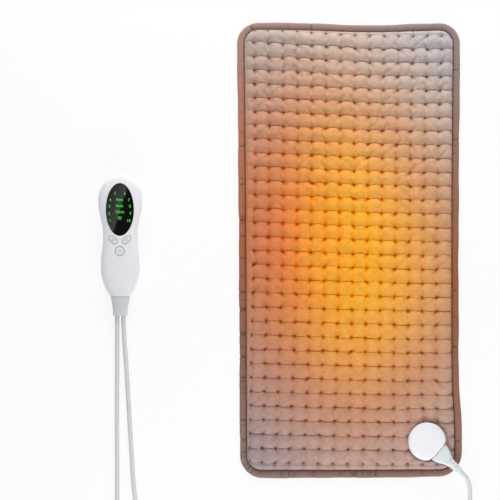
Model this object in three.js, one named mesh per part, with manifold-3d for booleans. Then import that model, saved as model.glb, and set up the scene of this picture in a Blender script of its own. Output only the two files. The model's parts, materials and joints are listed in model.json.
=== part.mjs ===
// Heating pad with a hand controller, a plug-in pad cord and a mains lead.
// Millimetres, +Z up. The pad lies flat on z = 0, its underside centred on the origin and its long
// side along Y. The controller lies on its back beside the pad with its head towards +Y.

import * as THREE from 'three';
import { mergeVertices } from 'three/addons/utils/BufferGeometryUtils.js';
import Module from 'manifold-3d';

const wasm = await Module();
wasm.setup();

// Fits, and how far a cutting shape reaches past what it cuts
const SEAT = 0.3;
const SCREW_FIT = 0.15;
const PAST = 5;

// Pad: outline, layers from the floor up, and the sewn tufts of the front cover
const PAD_WIDTH = 294;
const PAD_LENGTH = 600;
const PAD_CORNER = 29;
const BINDING_WIDTH = 9.3;
const TAPE = 1;
const RIM = 0.9;
const HEM = 1.2;
const BACK_COVER = 1;
const FELT = 1;
const CARRIER = 0.6;
const PADDING = 2;
const COVER = 0.9;
const PUFF = 3.2;
const TACK_COLUMNS = 14;
const TACK_ROWS = 32;
const TACK_MARGIN_X = 14.5;
const TACK_MARGIN_Y = 5.2;
const TUFT_SIDE = 18;
const PRESSED_MARGIN = 15;

// Heating wire, a serpentine between the carrier cloth and the padding
const WIRE_DIAMETER = 2.2;
const WIRE_RUNS = 12;
const WIRE_MARGIN = 24;
const WIRE_LEAD_MARGIN = 19;
const WIRE_BEND = 10;
const WIRE_SPACE = 0.15;
const WIRE_CLEAR = 6;
const WIRE_OVER_SOCKET = 30;
const WIRE_JOG = 4;
const CUTOUT_LENGTH = 14;
const CUTOUT_WIDTH = 5;
const FUSE_LENGTH = 10;

// Socket on the pad's corner, its mouth facing out along the plug's axis
const SOCKET_FROM_SIDE = 43.8;
const SOCKET_FROM_END = 47.1;
const PLUG_ANGLE = THREE.MathUtils.degToRad(-42);
const SOCKET_RADIUS = 25;
const SOCKET_HEIGHT = 13;
const SOCKET_SPLIT = 6;
const SOCKET_FACE = 20;
const SOCKET_NECK = 9;
const PLATE_RADIUS = 16;
const PLATE = 1.6;
const PIN_RADIUS = 1.2;
const PIN_SPACING = 5.5;
const PIN_LENGTH = 14;
const PIN_WALL = 4;
const SOCKET_SCREW = 2.2;
const SOCKET_SCREW_GRIP = 7;

// Plug of the pad cord: a tongue in the socket, then a wedge, then its strain relief
const TONGUE_WIDTH = 18.4;
const TONGUE_HEIGHT = 6.4;
const TONGUE_DEPTH = 14;
const WEDGE_WIDTH = 25.7;
const WEDGE_HEIGHT = 9.6;
const WEDGE_LENGTH = 18;
const WEDGE_END = 11;
const RELIEF_LENGTH = 20;
const SLEEVE_PLAY = 0.25;
const SLEEVE_WALL = 0.4;

// Cords
const CORD = 6;
const CORD_SPACING = 8.2;

// Controller: outline seen from the front, measured up from the seam with its cord collar
const CONTROLLER_X = -301;
const CONTROLLER_Y = -62;
const BODY_LENGTH = 160;
const HEAD_WIDTH = 58;
const HEAD_LENGTH = 33;
const WAIST_WIDTH = 45.2;
const WAIST_AT = 80.5;
const BELLY_WIDTH = 51.3;
const BELLY_AT = 40;
const NECK_WIDTH = 26.2;
const PARTING = 12;
const FRONT_DEPTH = 15;
const SHELL = 2;
const PARTING_GAP = 0.3;
const SECTION_POWER = 2.8;
const DOME_POWER = 0.35;
const COLLAR_LENGTH = 25;
const COLLAR_END_WIDTH = 19;
const COLLAR_END_HEIGHT = 13.4;
const SPIGOT = 5;

// Controller: window and buttons
const WINDOW_WIDTH = 36.2;
const WINDOW_LENGTH = 68.7;
const WINDOW_FROM_TOP = 45.5;
const LENS = 3.6;
const FILM = 0.3;
const OVAL_LENGTH = 14.1;
const OVAL_WIDTH = 8.3;
const OVAL_OFFSET = 8.95;
const OVAL_BELOW_WINDOW = 39.9;
const OVAL_TILT = THREE.MathUtils.degToRad(40);
const POWER_DIAMETER = 12.8;
const POWER_BELOW_OVALS = 14.6;
const BUTTON_PROUD = 0.5;
const BUTTON_TRAVEL = 0.5;
const FLANGE = 1.2;
const FLANGE_TOP = 21;

// Controller: board and what it carries, screws and cord clamp
const BOARD_HEIGHT = 9;
const BOARD = 1.6;
const BOARD_WIDTH = 34;
const BOARD_START = 36;
const BOARD_FROM_TOP = 14;
const BOARD_CORNER = 4;
const BOARD_POST = 2.2;
const POST_INSET = 4;
const FILM_CAPACITOR = [7, 13, 8];
const CAN_RADIUS = 4;
const CAN_HEIGHT = 8;
const CAN_X = 8;
const TRIAC = [4.2, 10, 8];
const CHIP = [4.4, 10, 1.6];
const SWITCH_SIDE = 6;
const SWITCH_HEIGHT = 3.5;
const PLUNGER_RADIUS = 1.7;
const PLUNGER_RISE = 1.2;
const TOP_SCREW_FROM_TOP = 7;
const LOW_SCREW_AT = 27;
const LOW_SCREW_X = 15.5;
const SCREW_RADIUS = 1.25;
const SCREW_LENGTH = 14;
const SCREW_HEAD = 2.2;
const SCREW_HEAD_HEIGHT = 1.5;
const SCREW_SUNK = 1.8;
const BOSS_RADIUS = 3;
const CLAMP_AT = 13;
const CLAMP_DEPTH = 7;
const CLAMP_BAR = 3;
const CLAMP_SCREW_X = 10.6;
const CLAMP_SCREW = 2.2;
const CLAMP_SCREW_LENGTH = 10;
const CLAMP_POST = 2.4;

// Mains plug, lying on its side with its blades along +X
const MAINS_X = -196;
const MAINS_RELIEF = 26;
const MAINS_LENGTH = 32;
const MAINS_WIDTH = 25;
const MAINS_HEIGHT = 17;
const BLADE_SPACING = 12.7;
const BLADE_LENGTH = 17.5;
const BLADE_HELD = 8;
const BLADE = 1.5;
const LIVE_BLADE = 6.35;
const NEUTRAL_BLADE = 7.94;
const BLADE_HOLE = 1.6;
const BLADE_HOLE_IN = 4.5;
const MAINS_RELIEF_RADIUS = 5.2;

// Coil of the mains lead: two layers, spiralling in below and out again above
const COIL_Y = -440;
const COIL_PITCH = 6.6;
const COIL_INNER = 24.6;
const COIL_LIFT = 1.4;
const TURNS_IN = 3.1;
const TURNS_OUT = 3.15;
const TIE = 1;
const TIE_WIDTH = 9;
const TIE_ANGLE = THREE.MathUtils.degToRad(45);

// Levels and places that follow from the sizes above
const SOCKET_X = PAD_WIDTH / 2 - SOCKET_FROM_SIDE;
const SOCKET_Y = SOCKET_FROM_END - PAD_LENGTH / 2;
const FELT_TOP = BACK_COVER + FELT;
const CARRIER_TOP = FELT_TOP + CARRIER;
const WIRE_Z = CARRIER_TOP + WIRE_SPACE + WIRE_DIAMETER / 2;
const PADDING_BOTTOM = WIRE_Z + WIRE_DIAMETER / 2 + WIRE_SPACE;
const COVER_BOTTOM = PADDING_BOTTOM + PADDING;
const TACK_TOP = COVER_BOTTOM + COVER;
const BACK_RIM = TAPE + SEAT;
const FRONT_RIM = BACK_RIM + RIM + SEAT;
const BINDING_HEIGHT = FRONT_RIM + RIM + SEAT + TAPE;
const FIELD_INSET = BINDING_WIDTH + SEAT;
const LAYER_INSET = FIELD_INSET + HEM + SEAT;
const RIM_INSET = TAPE + SEAT;
const SOCKET_Z = TACK_TOP + SEAT;
const TONGUE_Z = SOCKET_SPLIT;
const PLUG_END = SOCKET_FACE + SEAT + WEDGE_LENGTH + SEAT + RELIEF_LENGTH;
const REAR_DEPTH = PARTING * 1.17;
const WINDOW_AT = BODY_LENGTH - WINDOW_FROM_TOP;
const OVAL_AT = WINDOW_AT - OVAL_BELOW_WINDOW;
const POWER_AT = OVAL_AT - POWER_BELOW_OVALS;
const BOARD_TOP = BOARD_HEIGHT + BOARD;
const BOARD_END = BODY_LENGTH - BOARD_FROM_TOP;
const OVER_FRONT = PARTING + FRONT_DEPTH + PAST;
const LENS_BOTTOM = PARTING + FRONT_DEPTH - LENS;
const SWITCH_TOP = BOARD_TOP + SWITCH_HEIGHT;
const PLUNGER_TOP = SWITCH_TOP + PLUNGER_RISE;
const CORD_RADIUS = CORD / 2;
const CORD_FIT = CORD_RADIUS + SEAT;
const COLLAR_Y = CONTROLLER_Y - COLLAR_LENGTH;
const CORD_START_Y = CONTROLLER_Y + CLAMP_AT + CLAMP_DEPTH / 2 + 2;
const MAINS_CORD_X = CONTROLLER_X - CORD_SPACING / 2;
const PAD_CORD_X = CONTROLLER_X + CORD_SPACING / 2;
const COIL_OUTER = COIL_INNER + COIL_PITCH * TURNS_IN;
const COIL_X = MAINS_CORD_X + COIL_OUTER;
const COIL_LOW = CORD_RADIUS + COIL_LIFT;
const COIL_HIGH = COIL_LOW + COIL_PITCH;
const COIL_END = COIL_INNER + COIL_PITCH * TURNS_OUT;
const MAINS_Y = COIL_Y - COIL_END;
const MAINS_Z = MAINS_HEIGHT / 2;

// Materials
const cloth = (color) => new THREE.MeshStandardMaterial({ color, roughness: 0.95, metalness: 0 });
const plastic = (color) => new THREE.MeshStandardMaterial({ color, roughness: 0.4, metalness: 0 });
const metal = (color) => new THREE.MeshStandardMaterial({ color, roughness: 0.35, metalness: 1 });
const COVER_CLOTH = 0xbfb0a8;
const BINDING_CLOTH = 0x8c7773;
const WHITE = 0xeceef0;
const CORD_WHITE = 0xe6e6e4;
const BLACK = 0x0b0b0c;
const BRASS = 0xc9a24e;
const STEEL = 0xb9bcc0;

// Solids

function solid(geometry) {
  const bare = new THREE.BufferGeometry();
  const loose = geometry.index ? geometry.toNonIndexed() : geometry;
  bare.setAttribute('position', loose.getAttribute('position').clone());
  const joined = mergeVertices(bare, 1e-4);
  const mesh = new wasm.Mesh({
    numProp: 3,
    vertProperties: joined.getAttribute('position').array,
    triVerts: new Uint32Array(joined.index.array),
  });
  return new wasm.Manifold(mesh);
}

function geometryOf(shape) {
  const mesh = shape.getMesh();
  const geometry = new THREE.BufferGeometry();
  geometry.setAttribute('position', new THREE.BufferAttribute(mesh.vertProperties, 3));
  geometry.setIndex(new THREE.BufferAttribute(mesh.triVerts, 1));
  geometry.computeVertexNormals();
  return geometry;
}

// A solid carried to another place, and turned first to lie along X where asked
function moved(shape, x, y, z) {
  return solid(geometryOf(shape).translate(x, y, z));
}

function laidAlongX(shape) {
  return solid(geometryOf(shape).rotateY(Math.PI / 2));
}

function piece(parent, name, shape, material) {
  const mesh = new THREE.Mesh(geometryOf(shape), material);
  mesh.name = name;
  parent.add(mesh);
  return mesh;
}

// A skin over rings of points: capped at both ends, or joined up when it loops
function skin(rings, loops = false) {
  const around = rings[0].length;
  const points = rings.flat();
  const triangles = [];
  const last = loops ? rings.length : rings.length - 1;
  for (let i = 0; i < last; i += 1) {
    const here = i * around;
    const next = ((i + 1) % rings.length) * around;
    for (let k = 0; k < around; k += 1) {
      const after = (k + 1) % around;
      triangles.push([here + k, next + k, here + after]);
      triangles.push([here + after, next + k, next + after]);
    }
  }
  if (!loops) {
    const caps = [[rings[0], 0, false], [rings.at(-1), points.length - around, true]];
    for (const [ring, start, flip] of caps) {
      const middle = ring.reduce((sum, p) => sum.add(p), new THREE.Vector3()).divideScalar(around);
      const centre = points.push(middle) - 1;
      for (let k = 0; k < around; k += 1) {
        const pair = [start + k, start + ((k + 1) % around)];
        triangles.push(flip ? [centre, pair[1], pair[0]] : [centre, pair[0], pair[1]]);
      }
    }
  }
  let volume = 0;
  for (const [a, b, c] of triangles) {
    volume += points[a].dot(new THREE.Vector3().crossVectors(points[b], points[c])) / 6;
  }
  const index = triangles.flatMap(([a, b, c]) => (volume < 0 ? [a, c, b] : [a, b, c]));
  const geometry = new THREE.BufferGeometry().setFromPoints(points);
  geometry.setIndex(index);
  return solid(dropFlat(geometry));
}

// Leaves out triangles that have closed up to a line, as at the tip of a rounded end
function dropFlat(geometry) {
  const joined = mergeVertices(geometry, 1e-5);
  const index = joined.index.array;
  const kept = [];
  for (let i = 0; i < index.length; i += 3) {
    const [a, b, c] = [index[i], index[i + 1], index[i + 2]];
    if (a !== b && b !== c && c !== a) kept.push(a, b, c);
  }
  joined.setIndex(kept);
  return joined;
}

function prism(shape, bottom, top, curveSegments = 2) {
  const settings = { depth: top - bottom, bevelEnabled: false, curveSegments };
  const geometry = new THREE.ExtrudeGeometry(shape, settings);
  geometry.translate(0, 0, bottom);
  return solid(geometry);
}

function block(x0, x1, y0, y1, z0, z1) {
  const geometry = new THREE.BoxGeometry(x1 - x0, y1 - y0, z1 - z0);
  geometry.translate((x0 + x1) / 2, (y0 + y1) / 2, (z0 + z1) / 2);
  return solid(geometry);
}

function disc(x, y, radius, z0, z1, sides = 24) {
  const geometry = new THREE.CylinderGeometry(radius, radius, z1 - z0, sides);
  geometry.rotateX(Math.PI / 2);
  geometry.translate(x, y, (z0 + z1) / 2);
  return solid(geometry);
}

function rod(radius, x0, x1, y, z, sides = 12) {
  const geometry = new THREE.CylinderGeometry(radius, radius, x1 - x0, sides);
  geometry.rotateZ(Math.PI / 2);
  geometry.translate((x0 + x1) / 2, y, z);
  return solid(geometry);
}

function ellipse(halfWidth, halfLength, x = 0, y = 0, turn = 0) {
  const shape = new THREE.Shape();
  shape.absellipse(x, y, halfWidth, halfLength, 0, 2 * Math.PI, false, turn);
  return shape;
}

// A turned piece about +Z from a profile of radius and height pairs that starts and ends on the axis
function turned(profile, sides = 24) {
  const geometry = new THREE.LatheGeometry(profile.map(([r, z]) => new THREE.Vector2(r, z)), sides);
  geometry.rotateX(Math.PI / 2);
  return solid(dropFlat(geometry));
}

function rounded(value, power) {
  return Math.sign(value) * Math.abs(value) ** (2 / power);
}

// An oval ring across Y at one station, with its own height above and below its middle
function ovalRing(y, halfWidth, above, below, middle, sides, power) {
  const ring = [];
  for (let k = 0; k < sides; k += 1) {
    const turn = (2 * Math.PI * k) / sides;
    const height = Math.sin(turn) >= 0 ? above : below;
    const x = halfWidth * rounded(Math.cos(turn), power);
    const z = middle + height * rounded(Math.sin(turn), power);
    ring.push(new THREE.Vector3(x, y, z));
  }
  return ring;
}

// A round bar swept along points that stay nearly level
function bar(points, radius, sides) {
  const up = new THREE.Vector3(0, 0, 1);
  const rings = points.map((point, i) => {
    const before = points[Math.max(i - 1, 0)];
    const after = points[Math.min(i + 1, points.length - 1)];
    const along = after.clone().sub(before).normalize();
    const side = new THREE.Vector3().crossVectors(up, along).normalize();
    const rise = new THREE.Vector3().crossVectors(along, side);
    const ring = [];
    for (let k = 0; k < sides; k += 1) {
      const turn = (2 * Math.PI * k) / sides;
      const offset = side.clone().multiplyScalar(radius * Math.cos(turn));
      offset.addScaledVector(rise, radius * Math.sin(turn));
      ring.push(point.clone().add(offset));
    }
    return ring;
  });
  return skin(rings);
}

// A stretch of cord through chosen points
function cordAlong(places, spacing) {
  const curve = new THREE.CatmullRomCurve3(places.map((p) => new THREE.Vector3(...p)));
  const section = new THREE.Shape();
  for (let k = 0; k < 8; k += 1) {
    const turn = (2 * Math.PI * k) / 8;
    const corner = [CORD_RADIUS * Math.cos(turn), CORD_RADIUS * Math.sin(turn)];
    if (k === 0) section.moveTo(...corner);
    else section.lineTo(...corner);
  }
  section.closePath();
  const length = curve.getLength();
  const steps = Math.round(length / spacing);
  const geometry = new THREE.ExtrudeGeometry(section, { steps, bevelEnabled: false, extrudePath: curve });
  return { shape: solid(geometry), length };
}

// Pad

function padOutline(inset) {
  const x = PAD_WIDTH / 2 - inset;
  const y = PAD_LENGTH / 2 - inset;
  const r = Math.max(PAD_CORNER - inset, 2);
  const shape = new THREE.Shape();
  shape.moveTo(x, -y + r);
  shape.lineTo(x, y - r);
  shape.absarc(x - r, y - r, r, 0, Math.PI / 2, false);
  shape.lineTo(-x + r, y);
  shape.absarc(-x + r, y - r, r, Math.PI / 2, Math.PI, false);
  shape.lineTo(-x, -y + r);
  shape.absarc(-x + r, -y + r, r, Math.PI, 1.5 * Math.PI, false);
  shape.lineTo(x - r, -y);
  shape.absarc(x - r, -y + r, r, 1.5 * Math.PI, 2 * Math.PI, false);
  return shape;
}

// A frame that follows the pad's outline, from a closed profile of inset and height pairs
function padFrame(profile) {
  const steps = 4;
  const corners = [[1, 1, 0], [-1, 1, 1], [-1, -1, 2], [1, -1, 3]];
  const rings = [];
  for (const [sx, sy, quarter] of corners) {
    for (let i = 0; i <= steps; i += 1) {
      const turn = ((quarter + i / steps) * Math.PI) / 2;
      const cx = sx * (PAD_WIDTH / 2 - PAD_CORNER);
      const cy = sy * (PAD_LENGTH / 2 - PAD_CORNER);
      const ring = profile.map(([inset, z]) => {
        const r = PAD_CORNER - inset;
        return new THREE.Vector3(cx + r * Math.cos(turn), cy + r * Math.sin(turn), z);
      });
      rings.push(ring);
    }
  }
  return skin(rings, true);
}

function band(outerInset, innerInset, bottom, top) {
  return padFrame([[outerInset, bottom], [outerInset, top], [innerInset, top], [innerInset, bottom]]);
}

// Whether a place lies where the socket or its plug presses the tufts flat
function pressed(x, y) {
  const dx = x - SOCKET_X;
  const dy = y - SOCKET_Y;
  const along = dx * Math.cos(PLUG_ANGLE) + dy * Math.sin(PLUG_ANGLE);
  const across = dy * Math.cos(PLUG_ANGLE) - dx * Math.sin(PLUG_ANGLE);
  const underPlug = along > 0 && Math.abs(across) < WEDGE_WIDTH / 2 + PRESSED_MARGIN;
  return Math.hypot(dx, dy) < SOCKET_RADIUS + PRESSED_MARGIN || underPlug;
}

function tackLines(half, margin, count) {
  const first = half - margin;
  const lines = Array.from({ length: count }, (_, i) => -first + (2 * first * i) / (count - 1));
  return [-half, ...lines, half];
}

// The quilted field: every cell between tacks rises to a tuft
function quiltedField() {
  const halfX = PAD_WIDTH / 2 - FIELD_INSET;
  const halfY = PAD_LENGTH / 2 - FIELD_INSET;
  const xs = tackLines(halfX, TACK_MARGIN_X, TACK_COLUMNS);
  const ys = tackLines(halfY, TACK_MARGIN_Y, TACK_ROWS);
  const columns = xs.length;
  const points = [];
  const index = [];
  for (const y of ys) {
    for (const x of xs) points.push(new THREE.Vector3(x, y, TACK_TOP));
  }
  for (let j = 0; j + 1 < ys.length; j += 1) {
    for (let i = 0; i + 1 < columns; i += 1) {
      const x = (xs[i] + xs[i + 1]) / 2;
      const y = (ys[j] + ys[j + 1]) / 2;
      const small = Math.min(xs[i + 1] - xs[i], ys[j + 1] - ys[j]);
      const a = j * columns + i;
      const corners = [a, a + 1, a + columns + 1, a + columns];
      if (pressed(x, y) || small < PUFF * 2) {
        index.push(corners[0], corners[1], corners[2], corners[0], corners[2], corners[3]);
      } else {
        const rise = PUFF * Math.min(small / TUFT_SIDE, 1);
        const top = points.push(new THREE.Vector3(x, y, TACK_TOP + rise)) - 1;
        corners.forEach((corner, k) => index.push(corner, corners[(k + 1) % 4], top));
      }
    }
  }
  const rows = ys.length;
  const edge = [];
  for (let i = 0; i < columns - 1; i += 1) edge.push(i);
  for (let j = 0; j < rows - 1; j += 1) edge.push(j * columns + columns - 1);
  for (let i = columns - 1; i > 0; i -= 1) edge.push((rows - 1) * columns + i);
  for (let j = rows - 1; j > 0; j -= 1) edge.push(j * columns);
  const below = edge.map((k) => points.push(points[k].clone().setZ(COVER_BOTTOM)) - 1);
  const centre = points.push(new THREE.Vector3(0, 0, COVER_BOTTOM)) - 1;
  edge.forEach((top, k) => {
    const next = (k + 1) % edge.length;
    index.push(top, below[k], edge[next]);
    index.push(edge[next], below[k], below[next]);
    index.push(centre, below[next], below[k]);
  });
  const geometry = new THREE.BufferGeometry().setFromPoints(points);
  geometry.setIndex(index);
  return solid(geometry);
}

function frontCover() {
  const trim = prism(padOutline(FIELD_INSET), COVER_BOTTOM - 1, TACK_TOP + PUFF + 1);
  const hem = band(FIELD_INSET, FIELD_INSET + HEM, FRONT_RIM, COVER_BOTTOM + COVER / 2);
  const rim = band(RIM_INSET, FIELD_INSET + HEM, FRONT_RIM, FRONT_RIM + RIM);
  const hole = disc(SOCKET_X, SOCKET_Y, SOCKET_NECK + SEAT, COVER_BOTTOM - 1, TACK_TOP + 1);
  return quiltedField().intersect(trim).add(hem).add(rim).subtract(hole);
}

function backCover() {
  const field = prism(padOutline(FIELD_INSET), 0, BACK_COVER);
  const hem = band(FIELD_INSET, FIELD_INSET + HEM, BACK_COVER / 2, BACK_RIM + RIM);
  const rim = band(RIM_INSET, FIELD_INSET + HEM, BACK_RIM, BACK_RIM + RIM);
  return field.add(hem).add(rim);
}

function edgeBinding() {
  const soft = TAPE * 1.4;
  const top = BINDING_HEIGHT;
  const outside = [[BINDING_WIDTH, 0], [soft, 0], [soft * 0.3, soft * 0.3], [0, soft], [0, top - soft]];
  const over = [[soft * 0.3, top - soft * 0.3], [soft, top], [BINDING_WIDTH, top]];
  const inside = [[BINDING_WIDTH, top - TAPE], [TAPE, top - TAPE], [TAPE, TAPE], [BINDING_WIDTH, TAPE]];
  return padFrame([...outside, ...over, ...inside]);
}

// From the socket's plate along the bottom edge, up and down across the pad, and back to the plate
function wirePath() {
  const edge = PAD_WIDTH / 2 - WIRE_MARGIN;
  const top = PAD_LENGTH / 2 - WIRE_MARGIN;
  const pitch = (2 * edge) / (WIRE_RUNS - 1);
  const r = pitch / 2;
  const lead = -PAD_LENGTH / 2 + WIRE_LEAD_MARGIN;
  const reach = PLATE_RADIUS + SEAT;
  const low = lead + WIRE_DIAMETER + WIRE_CLEAR + r;
  const overSocket = SOCKET_Y + reach + WIRE_OVER_SOCKET + r;
  const path = new THREE.Path();
  path.moveTo(SOCKET_X, SOCKET_Y - reach);
  path.lineTo(SOCKET_X, lead + WIRE_BEND);
  path.absarc(SOCKET_X - WIRE_BEND, lead + WIRE_BEND, WIRE_BEND, 0, -Math.PI / 2, true);
  path.lineTo(-edge + WIRE_BEND, lead);
  path.absarc(-edge + WIRE_BEND, lead + WIRE_BEND, WIRE_BEND, 1.5 * Math.PI, Math.PI, true);
  for (let run = 0; run < WIRE_RUNS - 1; run += 1) {
    const x = -edge + run * pitch;
    if (run % 2 === 0) {
      path.lineTo(x, top - r);
      path.absarc(x + r, top - r, r, Math.PI, 0, true);
    } else {
      const turn = run > WIRE_RUNS - 4 ? overSocket : low;
      path.lineTo(x, turn);
      path.absarc(x + r, turn, r, Math.PI, 2 * Math.PI, false);
    }
  }
  const shift = (edge - SOCKET_X) / 2;
  const jog = SOCKET_Y + reach + WIRE_JOG + 2 * shift;
  path.lineTo(edge, jog);
  path.absarc(edge - shift, jog, shift, 0, -Math.PI / 2, true);
  path.absarc(SOCKET_X + shift, jog - 2 * shift, shift, Math.PI / 2, Math.PI, false);
  path.lineTo(SOCKET_X, SOCKET_Y + reach);
  return path;
}

function heatingWire() {
  const flat = wirePath().getPoints(2);
  const apart = flat.filter((p, i) => i === 0 || p.distanceTo(flat[i - 1]) > 0.01);
  return bar(apart.map((p) => new THREE.Vector3(p.x, p.y, WIRE_Z)), WIRE_DIAMETER / 2, 6);
}

function buildPad(group) {
  const neckHole = disc(SOCKET_X, SOCKET_Y, SOCKET_NECK + SEAT, 0, SOCKET_Z);
  const padding = prism(padOutline(LAYER_INSET), PADDING_BOTTOM, COVER_BOTTOM).subtract(neckHole);
  piece(group, 'front_cover', frontCover(), cloth(COVER_CLOTH));
  piece(group, 'padding_layer', padding, cloth(0xf2f0ea));
  piece(group, 'heating_wire', heatingWire(), plastic(0xd8542f));
  piece(group, 'carrier_fabric', prism(padOutline(LAYER_INSET), FELT_TOP, CARRIER_TOP), cloth(0xdedad0));
  piece(group, 'insulation_felt', prism(padOutline(LAYER_INSET), BACK_COVER, FELT_TOP), cloth(0xcfcbc2));
  piece(group, 'back_cover', backCover(), cloth(0xa99a93));
  piece(group, 'edge_binding', edgeBinding(), cloth(BINDING_CLOTH));

  const edge = PAD_WIDTH / 2 - WIRE_MARGIN;
  const pitch = (2 * edge) / (WIRE_RUNS - 1);
  const beside = pitch / 2 - WIRE_DIAMETER / 2 - SEAT;
  const cutoutX = beside - CUTOUT_WIDTH / 2;
  const cutoutTop = PADDING_BOTTOM - SEAT;
  const half = CUTOUT_LENGTH / 2;
  const cutout = block(cutoutX - CUTOUT_WIDTH / 2, beside, -half, half, CARRIER_TOP, cutoutTop);
  const fuseRadius = WIRE_DIAMETER / 2;
  const fuse = new THREE.CylinderGeometry(fuseRadius, fuseRadius, FUSE_LENGTH, 10);
  fuse.translate(-beside + fuseRadius, -PAD_LENGTH / 5, CARRIER_TOP + WIRE_SPACE + fuseRadius);
  piece(group, 'thermal_cutout', cutout, plastic(0x2b2b2e));
  piece(group, 'thermal_fuse', solid(fuse), metal(0xd9d2b8));
}

// Socket and plug, in a frame whose X runs out along the plug's axis and whose z = 0 is on the cover

function socketDisc(bottom, top) {
  return disc(0, 0, SOCKET_RADIUS, bottom, top, 28);
}

function mouth() {
  const across = TONGUE_WIDTH / 2 + SEAT;
  const reach = TONGUE_HEIGHT / 2 + SEAT;
  const back = SOCKET_FACE - TONGUE_DEPTH - SEAT;
  return block(back, SOCKET_RADIUS + 1, -across, across, TONGUE_Z - reach, TONGUE_Z + reach);
}

function pinPlaces() {
  return [-PIN_SPACING, 0, PIN_SPACING];
}

function buildSocket(group) {
  const r = SOCKET_RADIUS;
  const beyond = block(SOCKET_FACE, 2 * r, -r, r, -1, SOCKET_HEIGHT + 1);
  const plateTop = CARRIER_TOP + SEAT + PLATE - SOCKET_Z;
  const plateBottom = plateTop - PLATE;
  const screwX = SOCKET_NECK * 0.55;
  const pinBack = SOCKET_FACE - TONGUE_DEPTH - SEAT - PIN_WALL;
  const screwTop = PLATE + SOCKET_SCREW_GRIP;

  let base = socketDisc(0, SOCKET_SPLIT - SEAT / 2);
  base = base.add(disc(0, 0, SOCKET_NECK, plateTop + SEAT, 1));
  base = base.subtract(beyond).subtract(mouth());
  let cover = turned([
    [0, SOCKET_SPLIT + SEAT / 2],
    [r, SOCKET_SPLIT + SEAT / 2],
    [r, SOCKET_HEIGHT * 0.62],
    [r * 0.97, SOCKET_HEIGHT * 0.75],
    [r * 0.88, SOCKET_HEIGHT * 0.88],
    [r * 0.6, SOCKET_HEIGHT * 0.97],
    [0, SOCKET_HEIGHT],
  ], 28);
  cover = cover.subtract(beyond).subtract(mouth());
  let plate = disc(0, 0, PLATE_RADIUS, plateBottom, plateTop, 20);

  pinPlaces().forEach((y, i) => {
    const bed = rod(PIN_RADIUS + SCREW_FIT, pinBack - SEAT, SOCKET_FACE, y, TONGUE_Z);
    base = base.subtract(bed);
    cover = cover.subtract(bed);
    const pin = rod(PIN_RADIUS, pinBack, pinBack + PIN_LENGTH, y, TONGUE_Z);
    piece(group, `socket_pin_${i + 1}`, pin, metal(BRASS));
  });
  for (const [name, x] of [['socket_screw_1', -screwX], ['socket_screw_2', screwX]]) {
    const head = PLATE * 0.85;
    const neck = SOCKET_SCREW / 2;
    const hole = neck + SCREW_FIT;
    const profile = [[0, 0], [2 * neck, 0], [neck, head], [neck, screwTop], [0, screwTop]];
    const sink = [
      [0, -1], [2 * hole + 1, -1], [2 * hole, 0],
      [hole, head], [hole, screwTop + 1], [0, screwTop + 1],
    ];
    const seat = moved(turned(sink, 12), x, 0, plateBottom);
    plate = plate.subtract(seat);
    base = base.subtract(seat);
    piece(group, name, moved(turned(profile, 12), x, 0, plateBottom), metal(STEEL));
  }
  piece(group, 'socket_base', base, plastic(WHITE));
  piece(group, 'socket_cover', cover, plastic(WHITE));
  piece(group, 'socket_back_plate', plate, plastic(0xd5d3cf));
}

// A rounded-box ring across X at one station
function plugRing(x, halfWidth, halfHeight, middle, sides, power) {
  return ovalRing(0, halfWidth, halfHeight, halfHeight, middle, sides, power)
    .map((p) => new THREE.Vector3(x, p.x, p.z));
}

function buildPlug(group) {
  const start = SOCKET_FACE + SEAT;
  const tip = SOCKET_FACE - TONGUE_DEPTH;
  const wedgeEnd = start + WEDGE_LENGTH;
  const middle = TONGUE_Z;
  const taper = new THREE.QuadraticBezierCurve(
    new THREE.Vector2(0, WEDGE_WIDTH / 2),
    new THREE.Vector2(WEDGE_LENGTH * 0.45, WEDGE_END / 2 + 1),
    new THREE.Vector2(WEDGE_LENGTH, WEDGE_END / 2),
  );
  const rings = taper.getPoints(5).map((p) => {
    const share = p.x / WEDGE_LENGTH;
    const height = THREE.MathUtils.lerp(WEDGE_HEIGHT, WEDGE_END * 0.82, share) / 2;
    return plugRing(start + p.x, p.y, height, middle, 16, 3);
  });
  const halfTongue = TONGUE_WIDTH / 2;
  const low = middle - TONGUE_HEIGHT / 2;
  const tongue = block(tip, start + 2, -halfTongue, halfTongue, low, low + TONGUE_HEIGHT);
  let body = skin(rings).add(tongue);
  const sleeveIn = PIN_RADIUS + SLEEVE_PLAY;
  const sleeveOut = sleeveIn + SLEEVE_WALL;
  const depth = tip + PIN_LENGTH - PIN_WALL + 1;
  pinPlaces().forEach((y, i) => {
    body = body.subtract(rod(sleeveOut + SCREW_FIT, tip - 1, depth + SEAT, y, middle));
    const hollow = rod(sleeveIn, tip, depth - 1, y, middle);
    const sleeve = rod(sleeveOut, tip + SEAT, depth, y, middle).subtract(hollow);
    piece(group, `plug_contact_${i + 1}`, sleeve, metal(BRASS));
  });
  piece(group, 'connector_plug', body, plastic(0xe4e8ec));

  const reliefStart = wedgeEnd + SEAT;
  const seatRadius = WEDGE_END * 0.39;
  const endRadius = CORD_RADIUS + 1;
  const relief = laidAlongX(turned([
    [0, 0], [seatRadius, 0], [seatRadius, 2], [endRadius + 0.2, RELIEF_LENGTH * 0.55],
    [endRadius + 0.4, RELIEF_LENGTH * 0.9], [endRadius, RELIEF_LENGTH], [0, RELIEF_LENGTH],
  ], 14));
  piece(group, 'connector_relief', moved(relief, reliefStart, 0, middle), plastic(CORD_WHITE));
}

// Controller, in a frame whose origin is the seam with the collar and whose Y runs up to the head

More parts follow.
